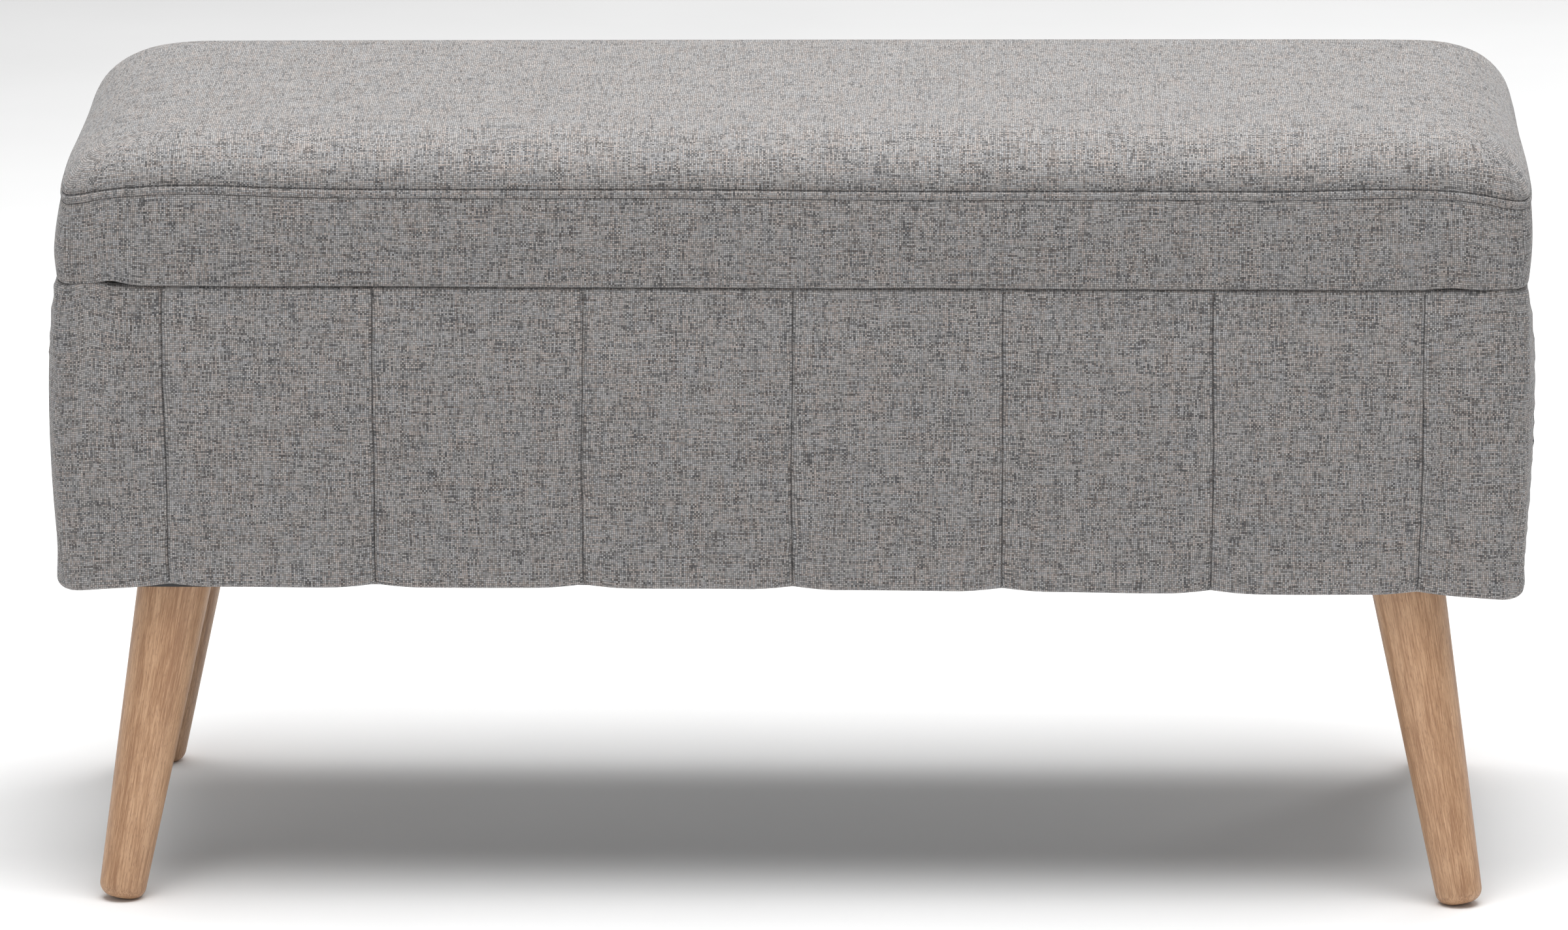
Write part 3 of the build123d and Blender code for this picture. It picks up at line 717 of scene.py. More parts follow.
# ---- lid top cover ----
# The seat panel of the same cloth, drawn over a thick soft pad so that it rolls down to the seam. Its edge
# laps over the band and is top-stitched a stitch's width above the seam.
band_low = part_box("lid_band_cover")[0].z
seam_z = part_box("lid_band_cover")[1].z
seat_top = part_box("lid_top_cover")[1].z
lid_inset_x, lid_inset_y = 5.2 * mm, 4.0 * mm
roll_left, roll_right, roll_y = 88 * mm, 70 * mm, 56 * mm
lap = 6.6 * mm
seam_arch = 4.2 * mm
stitch_groove = 1.1 * mm
lid_shift = 1.0 * mm
left_draw = 4.8 * mm  # how far the seat is pulled in at its left end
lid_x, lid_y = half_length - lid_inset_x, half_depth - lid_inset_y


def seam_height(x, y):
    """How far the seam stands over its height at the corners."""
    away = np.maximum(lid_x - np.abs(x), lid_y - np.abs(y))
    rise = seam_arch + 2.2 * mm * np.exp(-(((away - 95 * mm) / (50 * mm)) ** 2))
    return rise - 7.0 * mm * np.exp(-((away / (30 * mm)) ** 2)) + 0.5 * mm * waves(x + 2.3 * y, 11, 0.47, 0.29)


def seat_steps(half, roll):
    """Places across one half of the seat as (place, depth). Depth rises to 1 down the roll, and from 1 to 2
    down the lap, and past 2 where the edge is tucked under."""
    inner = [(x, 0.0) for x in np.linspace(0, half - roll, int((half - roll) / (7 * mm)) + 1)]
    rolled = [(half - roll * (1 - sin(a)), sin(a)) for a in np.linspace(0, pi / 2, 17)[1:]]
    lapped = [(half, 1 + d * mm / lap) for d in (0.4, 0.8, 1.2, 1.8, 2.8, 3.8, 4.8, 5.6, 6.2, 6.6)]
    return inner + rolled + lapped + [(half, 2.06), (half, 2.12)]


left, right, back = seat_steps(lid_x, roll_left), seat_steps(lid_x, roll_right), seat_steps(lid_y, roll_y)
xs = np.array([(-p, d) for p, d in left[:0:-1]] + right)
ys = np.array([(-p, d) for p, d in back[:0:-1]] + back)
px, py = np.meshgrid(xs[:, 0], ys[:, 0], indexing="ij")
dx, dy = np.meshgrid(xs[:, 1], ys[:, 1], indexing="ij")
depth = np.maximum(dx, dy)
roll_x = np.where(px < 0, roll_left, roll_right)
ex = np.where(dx > 0, (np.abs(px) - (lid_x - roll_x)) / roll_x, 0)
ey = np.where(dy > 0, (np.abs(py) - (lid_y - roll_y)) / roll_y, 0)
level = np.maximum(ex, ey)
squareness = 2.3 + 4.6 * level ** 2  # the seat's outline is rounder on top and squarer at the seam
norm = (ex ** squareness + ey ** squareness) ** (1 / squareness)
squeeze = np.where(norm > 1e-6, level / np.maximum(norm, 1e-6), 1)
seat_x = np.where(ex > 0, np.sign(px) * (lid_x - roll_x + roll_x * ex * squeeze), px)
seat_y = np.where(ey > 0, np.sign(py) * (lid_y - roll_y + roll_y * ey * squeeze), py)
seat_x += left_draw * np.clip(-seat_x / lid_x, 0, 1) ** 3
base = seam_z + seam_height(seat_x, seat_y)
profile = np.maximum(0, 1 - level ** 2.15) ** (0.5 + 0.15 * ex ** 3)
tilt = 2.2 * mm * np.clip((seat_x + 0.1) / 0.5, -0.6, 1)
crown = seat_top - 3.0 * mm - base - lap + tilt
dome = 3.2 * mm * (1 - np.abs(seat_x / lid_x) ** 5) * (1 - (seat_y / lid_y) ** 2)
seat_z = base + lap + (crown + dome) * profile
seat_z = np.where(depth > 1, base + lap * (2 - np.minimum(depth, 2)), seat_z)
seat_points = np.stack([seat_x, seat_y, seat_z], 2)

core = (slice(11, -11), slice(11, -11))
moved = settle(seat_points[core], (level >= 0.999)[core], False, 3.0, 0.004, 3.0 * mm)
seat_points[core] += moved * (1 - level[core] ** 6)[:, :, None]
seat_rest = seat_points.copy()

# The outline of the seam, anticlockwise seen from above from the back left corner, and its outward side.
seam_columns = np.flatnonzero(xs[:, 1] <= 1)
seam_rows = np.flatnonzero(ys[:, 1] <= 1)
seat_plan = np.stack([seat_x, seat_y], 2)
outline = np.concatenate([
    seat_plan[0, seam_rows[::-1]], seat_plan[seam_columns[1:], 0],
    seat_plan[-1, seam_rows[1:]], seat_plan[seam_columns[-2:0:-1], -1],
])
marks = np.cumsum([0, len(seam_rows) - 1, len(seam_columns) - 1, len(seam_rows) - 1])  # the corners' places
outline_way = np.concatenate([[0], np.cumsum(np.linalg.norm(np.diff(outline, axis=0), axis=1))])
outline_length = outline_way[-1] + np.linalg.norm(outline[0] - outline[-1])


def side_of(line):
    """Outward directions of a closed line that runs anticlockwise."""
    run = np.roll(line, -1, 0) - np.roll(line, 1, 0)
    run = run / np.linalg.norm(run, axis=1, keepdims=True)
    return np.stack([run[:, 1], -run[:, 0]], 1)


corner_ways = outline_way[marks]
grow = np.stack([
    np.sign(seat_x) * ex ** (squareness - 1) * lid_y, np.sign(seat_y) * ey ** (squareness - 1) * lid_x,
], 2)
outward = grow / np.maximum(np.linalg.norm(grow, axis=2, keepdims=True), 1e-12)
lap_down = (np.clip(depth, 1, 2) - 1) * lap
stitch_dip = stitch_groove * np.exp(-(((lap_down - 0.8 * mm) / (0.55 * mm)) ** 2))
lap_puff = 0.9 * mm * np.sin(pi * np.clip((lap_down - 1.2 * mm) / (lap - 1.2 * mm), 0, 1)) ** 0.7
tuck = 3.4 * mm * np.clip((depth - 2) / 0.12, 0, 1)
seat_points[:, :, :2] += outward * np.where(depth > 0.97, lap_puff - stitch_dip - tuck, 0)[:, :, None]
seat_points[:, :, 0] += lid_shift


def flat_lay(grid):
    """Each point's place on the cloth laid flat, from the lengths along the grid's middle lines."""
    columns, rows = grid.shape[:2]
    wide = np.linalg.norm(np.diff(grid[:, rows // 2], axis=0), axis=1)
    deep = np.linalg.norm(np.diff(grid[columns // 2], axis=0), axis=1)
    u = np.concatenate([[0], np.cumsum(wide)])
    v = np.concatenate([[0], np.cumsum(deep)])
    return np.stack(np.meshgrid(u, v, indexing="ij"), 2)


def weld(piece, distance=1e-6):
    """Joins a piece's coinciding points."""
    made = bmesh.new()
    made.from_mesh(piece.data)
    bmesh.ops.remove_doubles(made, verts=made.verts, dist=distance)
    made.to_mesh(piece.data)
    made.free()


seat_lay = flat_lay(seat_points)
seat_cover = cloth_grid("seat_cover_cloth", seat_points, seat_lay + 0.4, False)
weld(seat_cover)
thicken(seat_cover, cloth_thick)
dress(seat_cover, cover_cloth)
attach(seat_cover, "lid")
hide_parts("lid_top_cover")

# ---- lid band cover ----
# A strip of the same cloth round the lid's edge, in four lengths joined by an upright seam at each corner,
# turned in and stapled under the lid board.
band_round = 3 * mm
band_hem = 27 * mm



def gap_round(place, mark):
    """How far two places on the outline are apart, the shorter way round."""
    return abs((place - mark + outline_length / 2) % outline_length - outline_length / 2)


ways = set(np.round(np.arange(0, outline_length - 4 * mm, 6 * mm), 6))
for mark in corner_ways:
    ways = {p for p in ways if gap_round(p, mark) > 30 * mm}
    fine = (0, 0.4, 0.9, 1.7, 3.0, 5.0, 7.5, 10, 12.5, 15, 17.5, 20, 22.5, 25, 28)
    ways |= {round((mark + s * f * mm) % outline_length, 6) for f in fine for s in (-1, 1)}
ways = np.array(sorted(ways))
places = np.interp(ways, np.append(outline_way, outline_length), np.arange(len(outline) + 1))
band_line = cubic(outline, places, True)
band_side = side_of(band_line)
from_corner = np.min([gap_round(ways, mark) for mark in corner_ways], 0)
hinge_edge = np.clip((band_side[:, 1] - 0.3) / 0.5, 0, 1)
humps = sum(
    rise * mm * np.exp(-(((ways - corner_ways[at] - start * mm) / (12 * mm)) ** 2))
    for rise, at, start in ((3.2, 1, 26), (1.4, 2, -48))
)
upright_seam = 1.2 * mm * np.exp(-((from_corner / (0.8 * mm)) ** 1.4))


def band_profile():
    """Insets and heights from under the lap, down the band and in under the board."""
    top = seam_z + seam_height(band_line[:, 0], band_line[:, 1]) - 0.5 * mm
    low = band_low - 0.7 * mm * (1 - hinge_edge) + humps
    low = low + 0.3 * mm * (1 - hinge_edge) * waves(ways, 21, 0.37, 0.19)
    flare = left_draw * np.clip(-band_side[:, 0], 0, 1)
    inset, height = [3.6 * mm, 2.2 * mm], [top + 0.1 * mm, top]
    for t in np.linspace(0, 1, 13):
        inset.append((0.9 - 1.5 * sin(pi * t) + 0.6 * t ** 3) * mm + upright_seam - flare * min(1, 1.4 * t))
        height.append(top - 0.8 * mm + (low + band_round - top + 0.8 * mm) * t)
    for t in np.linspace(0, 1, 7)[1:]:
        inset.append(1.5 * mm + band_round * (1 - cos(t * pi / 2)) + upright_seam * (1 - t) - flare)
        height.append(low + band_round * (1 - sin(t * pi / 2)))
    for t in (0.25, 0.5, 0.75, 1.0):
        inset.append(1.5 * mm + band_round - flare + (band_hem - 1.5 * mm - band_round + flare) * t)
        height.append(low + (band_low - low) * min(1, 1.5 * t))
    return np.stack(np.broadcast_arrays(*inset), 1), np.stack(np.broadcast_arrays(*height), 1)


band_inset, band_height = band_profile()
centre = np.clip(band_line, [-lid_x + 34 * mm, -lid_y + 34 * mm], [lid_x - 34 * mm, lid_y - 34 * mm])
pull = (band_inset / np.linalg.norm(band_line - centre, axis=1)[:, None])[:, :, None]
band_plan = band_line[:, None] + (centre - band_line)[:, None] * pull
band_grid = np.concatenate([band_plan, band_height[:, :, None]], 2)
band_grid[:, :, 0] += lid_shift
steps = np.linalg.norm(np.diff(band_grid, axis=1), axis=2).mean(0)
fall = -np.concatenate([[0], np.cumsum(steps)])
lay = np.stack(np.broadcast_arrays(ways[:, None] + 5.0, fall[None, :]), 2)
band_cover = cloth_grid("band_cover_cloth", band_grid, lay, True, outline_length)
thicken(band_cover, cloth_thick)
dress(band_cover, cover_cloth)
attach(band_cover, "lid")
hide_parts("lid_band_cover")

# ---- lid foam ----
# One block of soft foam bonded on the lid board, a hand's breadth thick, that its cover pulls into a crown
# with round edges.
board_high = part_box("lid_board")[1]
foam_depth = np.minimum(depth, 2)
shrink = cloth_thick + foam_gap + 0.4 * mm
foot_z = board_high.z + foam_gap
fall_to = np.clip(foam_depth - 1, 0, 1)
foam_top = seat_rest.copy()
foam_top[:, :, 2] = np.where(
    foam_depth > 1, base + lap - shrink - (base + lap - shrink - foot_z - 1 * mm) * fall_to, foam_top[:, :, 2] - shrink,
)
foam_top[:, :, :2] -= outward * (np.clip(level, 0, 1) ** 3 * shrink + 1.4 * mm * (foam_depth > 1))[:, :, None]
foam_top[:, :, 0] += lid_shift
foam_low = foam_top.copy()
foam_low[:, :, 2] = foot_z
seat_foam = slab("lid_foam_block", foam_top, foam_low)
weld(seat_foam)
dress(seat_foam, foam)
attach(seat_foam, "lid")
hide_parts("lid_foam")

# ---- top-stitch ----
# A row of lockstitches in grey thread that holds the seat panel's edge down on the band, set a little above
# the seam all the way round.
stitch_length, stitch_step, thread_width = 3.1 * mm, 4.2 * mm, 0.55 * mm


class Bench:
    """A Geometry Nodes tree that turns a plain mesh into a repeated piece."""

    def __init__(self, name, sizes):
        self.tree = bpy.data.node_groups.new(name, "GeometryNodeTree")
        face = self.tree.interface
        face.new_socket("Geometry", in_out="INPUT", socket_type="NodeSocketGeometry")
        for label, value in sizes.items():
            made = face.new_socket(label, in_out="INPUT", socket_type="NodeSocketFloat")
            made.default_value = value
        face.new_socket("Geometry", in_out="OUTPUT", socket_type="NodeSocketGeometry")
        self.given = self.tree.nodes.new("NodeGroupInput").outputs

    def add(self, kind, settings=(), sockets=(), out=0):
        made = self.tree.nodes.new(kind)
        for key, value in dict(settings).items():
            setattr(made, key, value)
        for key, value in dict(sockets).items():
            for one in value if isinstance(value, list) else [value]:
                if isinstance(one, bpy.types.NodeSocket):
                    self.tree.links.new(one, made.inputs[key])
                else:
                    made.inputs[key].default_value = one
        return made.outputs[out]

    def sum(self, operation, a, b):
        return self.add("ShaderNodeMath", {"operation": operation}, {0: a, 1: b})

    def close(self, geometry, material):
        real = self.add("GeometryNodeRealizeInstances", (), {0: geometry})
        painted = self.add("GeometryNodeSetMaterial", (), {0: real, "Material": material})
        self.tree.links.new(painted, self.tree.nodes.new("NodeGroupOutput").inputs[0])

    def make(self, name, mesh, sizes):
        """The plain mesh that the tree makes of a mesh with these sizes."""
        seed = bpy.data.objects.new(name + "_seed", mesh)
        bpy.context.scene.collection.objects.link(seed)
        grown = seed.modifiers.new("grown", "NODES")
        grown.node_group = self.tree
        for item in self.tree.interface.items_tree:
            if item.in_out == "INPUT" and item.name in sizes:
                grown[item.identifier] = float(sizes[item.name])
        result = seed.evaluated_get(bpy.context.evaluated_depsgraph_get())
        plain = bpy.data.meshes.new_from_object(result)
        plain.name = name
        bpy.data.objects.remove(seed)
        piece = bpy.data.objects.new(name, plain)
        bpy.context.scene.collection.objects.link(piece)
        return piece


def twisted_thread(colour):
    """Polyester sewing thread, its plies turned round each other, with painted shade in the grooves between plies."""

    def build(wire):
        place = wire.node("TexCoord", {}, {}, out=3)
        x, y, z = wire.node("SeparateXYZ", {}, {0: place}, out=(0, 1, 2))
        turn = (x + y + z * 1.4) * (2 * pi / (0.5 * mm))
        ply_relief_and_shade = wire.maths("SINE", turn) * 0.5 + 0.5
        # Painted shade: the thread's colour darkens in the grooves between its plies, where the bump is low.
        tone = wire.node("ValToRGB", {"stops": (
            (0.0, tuple(0.6 * c for c in colour)), (1.0, tuple(1.25 * c for c in colour)),
        )}, {0: ply_relief_and_shade})
        return {
            "Base Color": tone,
            "Roughness": 0.6,
            "Normal": wire.node("Bump", {}, {"Strength": 0.4, "Distance": 0.05 * mm, "Height": ply_relief_and_shade}),
        }

    return build


stitching = Bench("stitching", {"Step": stitch_step, "Length": stitch_length, "Width": thread_width})
curve = stitching.add("GeometryNodeMeshToCurve", (), {0: stitching.given["Geometry"]})
spaced = stitching.add("GeometryNodeResampleCurve", {"mode": "LENGTH"}, {
    "Curve": curve, "Length": stitching.given["Step"],
})
along_line = stitching.add("GeometryNodeInputTangent")
faced = stitching.add("FunctionNodeAlignRotationToVector", {"axis": "X"}, {"Vector": along_line})
bead = stitching.add("GeometryNodeMeshUVSphere", (), {"Segments": 8, "Rings": 6, "Radius": 0.5})
scale = stitching.add("ShaderNodeCombineXYZ", (), {
    0: stitching.given["Length"], 1: stitching.given["Width"], 2: stitching.given["Width"],
})
placed = stitching.add("GeometryNodeInstanceOnPoints", (), {
    "Points": spaced, "Instance": bead, "Rotation": faced, "Scale": scale,
})
stitching.close(placed, finish("grey_thread", twisted_thread((0.085, 0.083, 0.085))))

line_at = np.interp(
    np.arange(0, outline_length, 5 * mm), np.append(outline_way, outline_length), np.arange(len(outline) + 1),
)
line = cubic(outline, line_at, True)
line_z = seam_z + seam_height(line[:, 0], line[:, 1]) + lap - 0.8 * mm
line = line + side_of(line) * (0.15 * mm - stitch_groove * 0.75)
run = bpy.data.meshes.new("stitch_line")
run.from_pydata(
    [(x + lid_shift, y, z) for (x, y), z in zip(line.tolist(), line_z.tolist())],
    [(i, (i + 1) % len(line)) for i in range(len(line))], [],
)
topstitch = stitching.make("lid_topstitch", run, {})
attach(topstitch, "lid")

# ---- storage lining ----
# Black non-woven polypropylene, folded into a tray and stapled to the inside of the walls under the cover's
# turned edge. It lies a little loose in the corners.
lining_thick = 0.8 * mm
lining_low, lining_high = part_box("storage_lining")
tray_fold = 7 * mm
tray_ring = Ring(lining_high.x - lining_thick, lining_high.y - lining_thick, 6 * mm, 9 * mm, [], [], [0.0])


def spunbond(colour):
    """Non-woven cloth with its fine pattern of welded dots."""

    def build(wire):
        place = wire.node("UVMap", {"uv_map": "threads"}, {})
        u, v = wire.node("SeparateXYZ", {}, {0: place}, out=(0, 1))
        a, b = (u + v) / (1.5 * mm), (u - v) / (1.5 * mm)
        a, b = a % 1 - 0.5, b % 1 - 0.5
        away = wire.maths("SQRT", a * a + b * b)
        dots = wire.node("ValToRGB", {"stops": ((0.16, (0, 0, 0)), (0.26, (1, 1, 1)))}, {0: away})
        fibres = wire.node("TexNoise", {"noise_dimensions": "2D"}, {"Vector": place, "Scale": 1400.0, "Detail": 3.0})
        creases = wire.node("TexNoise", {"noise_dimensions": "2D"}, {"Vector": place, "Scale": 14.0, "Detail": 2.0})
        tone = wire.node("ValToRGB", {"stops": (
            (0.2, tuple(0.6 * c for c in colour)), (0.8, tuple(1.5 * c for c in colour)),
        )}, {0: fibres * 0.6 + dots * 0.3})
        return {
            "Base Color": tone,
            "Roughness": 0.75 + dots * 0.15,
            "Normal": wire.node("Bump", {}, {
                "Strength": 0.5, "Distance": 0.4 * mm, "Height": dots * 0.25 + fibres * 0.2 + creases * 2.0,
            }),
        }

    return build


black_lining = finish("black_spunbond", spunbond((0.022, 0.022, 0.024)))
inset, height = [], []
wall_top = lining_high.z - 0.6 * mm
floor_z = lining_low.z + lining_thick
slack = 1.1 * mm * np.exp(-(((1 - tray_ring.turn) / 0.6) ** 2)) * (tray_ring.turn > 0)
for t in np.linspace(0, 1, 12):
    loose = 0.5 + 0.5 * waves(tray_ring.way + 0.2 * t, 31, 0.23, 0.09, 0.041)
    loose = loose * 0.9 * mm * np.clip(sin(pi * t), 0, 1)
    inset.append(0.05 * mm + loose + slack * sin(pi * min(1, t * 1.3)) + 0 * tray_ring.way)
    height.append(wall_top + (floor_z + tray_fold - wall_top) * t)
for t in np.linspace(0, 1, 7)[1:]:
    inset.append(0.05 * mm + tray_fold * (1 - cos(t * pi / 2)))
    height.append(floor_z + tray_fold * (1 - sin(t * pi / 2)))
half_y = tray_ring.size[1]
for t in np.linspace(0, 1, 18)[1:]:
    ripple = (0.5 + 0.5 * waves(tray_ring.way * 0.6 + t, 37, 0.33, 0.12)) * 0.8 * mm * sin(pi * min(t, 0.999)) ** 0.5
    inset.append(tray_fold + (half_y - 0.3 * mm - tray_fold) * t)
    height.append(floor_z + ripple * (t < 1))
inset = np.stack(np.broadcast_arrays(*[i + 0 * tray_ring.way for i in inset]), 1)
height = np.stack(np.broadcast_arrays(*[h + 0 * tray_ring.way for h in height]), 1)
tray = tray_ring.wrap(inset, height)
tray[:, -1, 1] = 0
steps = np.linalg.norm(np.diff(tray, axis=1), axis=2).max(0)
fall = -np.concatenate([[0], np.cumsum(steps)])
tray = tray[::-1]
lay = np.stack(np.broadcast_arrays((tray_ring.length - tray_ring.way[::-1])[:, None], fall[None, :]), 2)
lining = cloth_grid("storage_lining_cloth", tray, lay, True, tray_ring.length)
weld(lining, 0.35 * mm)
thicken(lining, lining_thick * 0.8)
dress(lining, black_lining)
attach(lining, "box")
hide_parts("storage_lining")

# ---- dust cover and lid lining ----
# Two more pieces of the same non-woven cloth: one closes the underside of the box, over the cover's turned
# edge, and one covers the underside of the lid board. Both have folded edges and are held by staples.


def lined_face(name, node, body, sag, hem):
    """Flat piece of lining with a folded edge, in the space of its node, hanging a little between staples."""
    low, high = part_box(node)
    half_x, half_y = high.x, high.y
    middle = (low.z + high.z) / 2
    near = np.array([0, 0.4, 1.2, hem / mm - 0.6, hem / mm, hem / mm + 0.8, hem / mm + 4]) * mm

    def line(half):
        inner = np.linspace(-(half - near[-1]), half - near[-1], int(2 * half / (9 * mm)))
        return np.concatenate([-half + near[:-1], inner, half - near[:-1][::-1]])

    x, y = np.meshgrid(line(half_x), line(half_y), indexing="ij")
    edge = np.minimum(half_x - np.abs(x), half_y - np.abs(y))
    fold = 0.25 * mm * (1 - np.clip((edge - hem) / (0.8 * mm), 0, 1)) * np.clip(edge / (0.4 * mm), 0.2, 1)
    drop = np.clip((edge - hem) / (60 * mm), 0, 1) ** 0.7 * (0.6 + 0.4 * waves(x + 1.7 * y, 41, 0.29, 0.13))
    grid = np.stack([x, y, middle - (fold + sag * drop)], 2)[:, ::-1]
    piece = cloth_grid(name, grid, grid[:, :, :2].copy() + 1.0, False)
    thicken(piece, 0.45 * mm)
    dress(piece, black_lining)
    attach(piece, body)
    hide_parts(node)


lined_face("dust_cover_cloth", "dust_cover", "box", 1.1 * mm, 12 * mm)
lined_face("lid_lining_cloth", "lid_lining", "lid", 0.15 * mm, 10 * mm)

# ---- staples ----
# Galvanised staples, driven every few centimetres through the folded edges.
staple_crown, staple_wire = 11 * mm, 0.8 * mm
stapling = Bench("stapling", {"Crown": staple_crown, "Wire": staple_wire})
cube = stapling.add("GeometryNodeMeshCube", (), {"Size": stapling.add("ShaderNodeCombineXYZ", (), {
    0: stapling.given["Crown"], 1: stapling.given["Wire"], 2: stapling.given["Wire"],
})})
cut = stapling.add("GeometryNodeSubdivideMesh", (), {"Mesh": cube, "Level": 1})
soft = stapling.add("GeometryNodeSubdivisionSurface", (), {"Mesh": cut, "Level": 1})
run_way = stapling.add("GeometryNodeInputNamedAttribute", {"data_type": "FLOAT_VECTOR"}, {"Name": "run"})
face_way = stapling.add("GeometryNodeInputNamedAttribute", {"data_type": "FLOAT_VECTOR"}, {"Name": "face"})
lie = stapling.add("FunctionNodeAlignRotationToVector", {"axis": "X"}, {"Vector": run_way})
lie = stapling.add("FunctionNodeAlignRotationToVector", {"axis": "Z", "pivot_axis": "X"}, {
    "Rotation": lie, "Vector": face_way,
})
placed = stapling.add("GeometryNodeInstanceOnPoints", (), {
    "Points": stapling.given["Geometry"], "Instance": soft, "Rotation": lie,
})
stapling.close(placed, zinc)


def dotted(name, places, **ways):
    """Points that carry directions, for a tree to put its pieces on."""
    mesh = bpy.data.meshes.new(name)
    mesh.from_pydata([tuple(p) for p in places], [], [])
    for label, values in ways.items():
        kept = mesh.attributes.new(label, "FLOAT_VECTOR", "POINT")
        kept.data.foreach_set("vector", np.array(values, np.float32).ravel())
    return mesh


def stapled_edge(half_x, half_y, z, step, face, seed, skip=()):
    """Places, runs and faces of staples along a rectangle, roughly evenly spaced, clear of the skipped
    stretches of its back edge."""
    draw = np.random.default_rng(seed)
    found = []
    for x0, y0, x1, y1 in ((-1, -1, 1, -1), (1, -1, 1, 1), (1, 1, -1, 1), (-1, 1, -1, -1)):
        start, end = Vector((x0 * half_x, y0 * half_y, z)), Vector((x1 * half_x, y1 * half_y, z))
        run = (end - start).normalized()
        count = int((end - start).length / step)
        for i in range(count):
            at = start.lerp(end, (i + 0.5 + draw.uniform(-0.12, 0.12)) / count)
            if y0 == y1 == 1 and any(abs(at.x - s) < 38 * mm for s in skip):
                continue
            lean = Matrix.Rotation(draw.uniform(-0.12, 0.12), 3, "Z") @ run
            side = face if face else Vector((run.y, -run.x, 0)) * -1
            found.append((at, lean, side))
    return found


def staple_row(name, body, found):
    places, runs, faces = zip(*found)
    row = stapling.make(name, dotted(name, places, run=runs, face=faces), {})
    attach(row, body)


down_way, hinge_places = Vector((0, 0, -1)), (-0.35, 0, 0.35)
low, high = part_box("dust_cover")
staple_row("dust_cover_staples", "box", stapled_edge(
    high.x - 6 * mm, high.y - 6 * mm, low.z - 0.3 * mm, 46 * mm, down_way, 51,
))
low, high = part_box("lid_lining")
staple_row("lid_lining_staples", "lid", stapled_edge(
    high.x - 5 * mm, high.y - 5 * mm, low.z - 0.15 * mm, 52 * mm, down_way, 52, hinge_places,
))
flap_x, flap_y = half_length - rim_reach, half_depth - rim_reach
staple_row("lining_staples", "box", stapled_edge(
    flap_x - 0.1 * mm, flap_y - 0.1 * mm, box_top - 6 * mm, 48 * mm, None, 53,
))

# ---- hinges ----
# Three zinc-plated butt hinges let in between the box's rim and the lid, each with a rolled knuckle on a
# plain pin.
for side in ("left", "middle", "right"):
    for leaf in ("box", "lid"):
        dress(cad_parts[side + "_hinge_" + leaf + "_leaf"], zinc)
dress(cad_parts["hinge_pins"], zinc)

# ---- lid stays ----
# A gas stay at each end: a black enamelled tube with a chromed rod, nylon eyes on both ends, and steel
# brackets screwed to the wall and to the lid board.
enamel = finish("black_enamel", coated((0.012, 0.012, 0.013), 0.3, 1.6 * mm))
nylon = finish("black_nylon", coated((0.018, 0.018, 0.018), 0.55, 0.5 * mm))
chrome = finish("chrome_plate", plated((0.78, 0.79, 0.81), 0.08, 0.8 * mm))
for side in ("left", "right"):
    for part, material in (
        ("box_bracket", zinc), ("lid_bracket", zinc), ("tube", enamel), ("guide", nylon), ("tube_eye", nylon),
        ("piston", zinc), ("rod", chrome), ("rod_eye", nylon),
    ):
        dress(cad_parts[side + "_stay_" + part], material)
for name in ("stay_box_clips", "stay_lid_clips"):
    dress(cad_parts[name], zinc)

# ---- screws ----
# Countersunk wood screws with a cross recess, zinc plated, in the leg plates, the hinge leaves and the
# stays' brackets. Those that join the boards lie hidden in the foam and stay as they are.
driving = Bench("driving", {
    "Head": 4 * mm, "Head Depth": 2 * mm, "Shank": 2 * mm, "Length": 13 * mm, "Recess": 2.4 * mm,
})
given = driving.given
round_of = 24
head = driving.add("GeometryNodeMeshCone", (), {
    "Vertices": round_of, "Radius Top": given["Head"], "Radius Bottom": given["Shank"], "Depth": given["Head Depth"],
})
sunk = driving.add("ShaderNodeCombineXYZ", (), {2: driving.sum("MULTIPLY", given["Head Depth"], -1.0)})
head = driving.add("GeometryNodeTransform", (), {"Geometry": head, "Translation": sunk})
bar = driving.add("ShaderNodeCombineXYZ", (), {
    0: given["Recess"], 1: driving.sum("MULTIPLY", given["Recess"], 0.24), 2: given["Head Depth"],
})
slot_one = driving.add("GeometryNodeMeshCube", (), {"Size": bar})
# The second bar is a little longer and shallower, so that no two faces of the cut lie in one plane.
slot_two = driving.add("GeometryNodeTransform", (), {
    "Geometry": slot_one, "Rotation": (0, 0, pi / 2), "Scale": (1.03, 1.05, 0.86),
})
head = driving.add("GeometryNodeMeshBoolean", {"operation": "DIFFERENCE"}, {0: head, 1: [slot_one, slot_two]})
body_length = driving.sum("SUBTRACT", given["Length"], given["Head Depth"])
shank = driving.add("GeometryNodeMeshCylinder", (), {
    "Vertices": round_of, "Radius": driving.sum("MULTIPLY", given["Shank"], 0.98), "Depth": body_length,
})
below = driving.sum("ADD", driving.sum("MULTIPLY", body_length, 0.5), given["Head Depth"])
below = driving.add("ShaderNodeCombineXYZ", (), {2: driving.sum("MULTIPLY", below, -1.0)})
shank = driving.add("GeometryNodeTransform", (), {"Geometry": shank, "Translation": below})
whole = driving.add("GeometryNodeJoinGeometry", (), {0: [head, shank]})
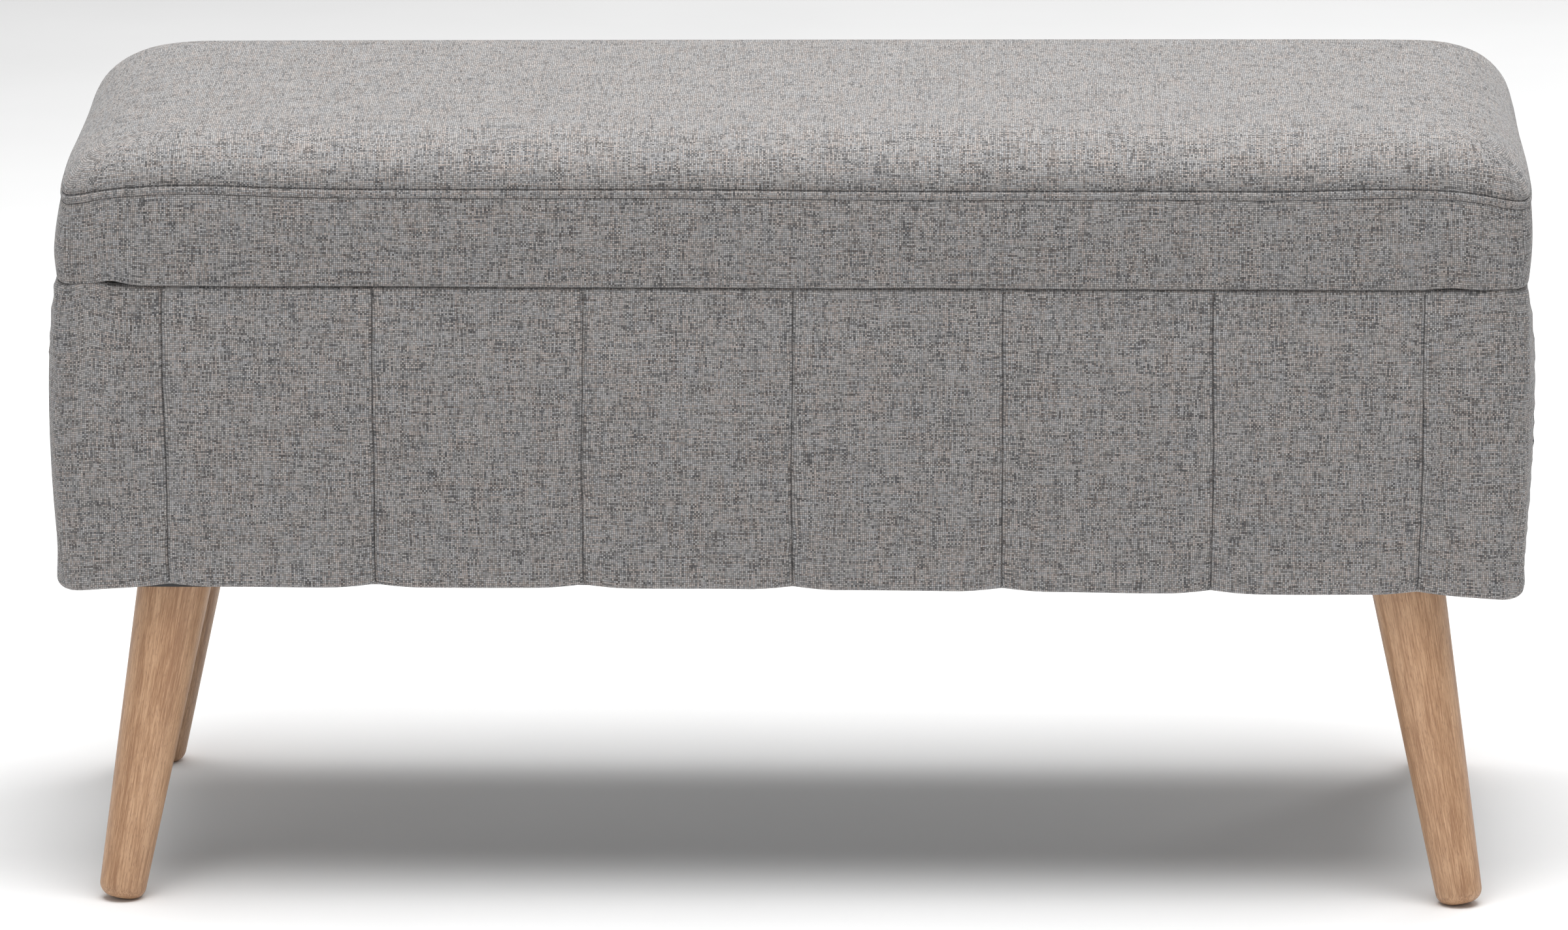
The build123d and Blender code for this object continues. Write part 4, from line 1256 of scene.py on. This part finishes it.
axis_way = driving.add("GeometryNodeInputNamedAttribute", {"data_type": "FLOAT_VECTOR"}, {"Name": "axis"})
faced = driving.add("FunctionNodeAlignRotationToVector", {"axis": "Z"}, {"Vector": axis_way})
placed = driving.add("GeometryNodeInstanceOnPoints", (), {
    "Points": given["Geometry"], "Instance": whole, "Rotation": faced,
})
driving.close(placed, zinc)


def screws_of(node):
    """Head centres and outward axes of the separate screws in a node, with their sizes."""
    made = bmesh.new()
    made.from_mesh(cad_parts[node].data)
    bmesh.ops.remove_doubles(made, verts=made.verts, dist=1e-6)
    left, found = set(made.verts), []
    while left:
        reach_out, points = [left.pop()], []
        while reach_out:
            at = reach_out.pop()
            points.append(at.co[:])
            for link in at.link_edges:
                other = link.other_vert(at)
                if other in left:
                    left.remove(other)
                    reach_out.append(other)
        points = np.array(points)
        middle = (points.max(0) + points.min(0)) / 2
        way = int(np.argmax(np.ptp(points, axis=0)))
        radius = np.linalg.norm(np.delete(points - middle, way, 1), axis=1)
        ends = points[:, way].min(), points[:, way].max()
        wide = [radius[np.abs(points[:, way] - e) < 1e-5].max() for e in ends]
        top = int(np.argmax(wide))
        centre, axis = middle.copy(), np.zeros(3)
        centre[way], axis[way] = ends[top], 1 if top else -1
        throat = np.abs(points[:, way] - ends[top])[radius < min(wide) * 1.02]
        found.append((centre, axis, max(wide), min(wide), ends[1] - ends[0], throat.min()))
    made.free()
    return sorted(found, key=lambda screw: screw[0].tolist())


for node, body in (
    ("leg_plate_screws", "box"), ("hinge_box_screws", "box"), ("hinge_lid_screws", "lid"),
    ("stay_box_screws", "box"), ("stay_lid_screws", "lid"),
):
    screws = screws_of(node)
    wide, thin, long, deep = screws[0][2:]
    row = driving.make(node + "_cross", dotted(node, [s[0] for s in screws], axis=[s[1] for s in screws]), {
        "Head": wide, "Head Depth": deep, "Shank": thin, "Length": long, "Recess": wide * 1.15,
    })
    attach(row, body)
    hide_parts(node)
for node in ("wall_screws", "bottom_screws"):
    dress(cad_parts[node], zinc)

# ---- the size as built ----
# The box of the finished model, as that of the bare model was taken at the start.
low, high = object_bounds()
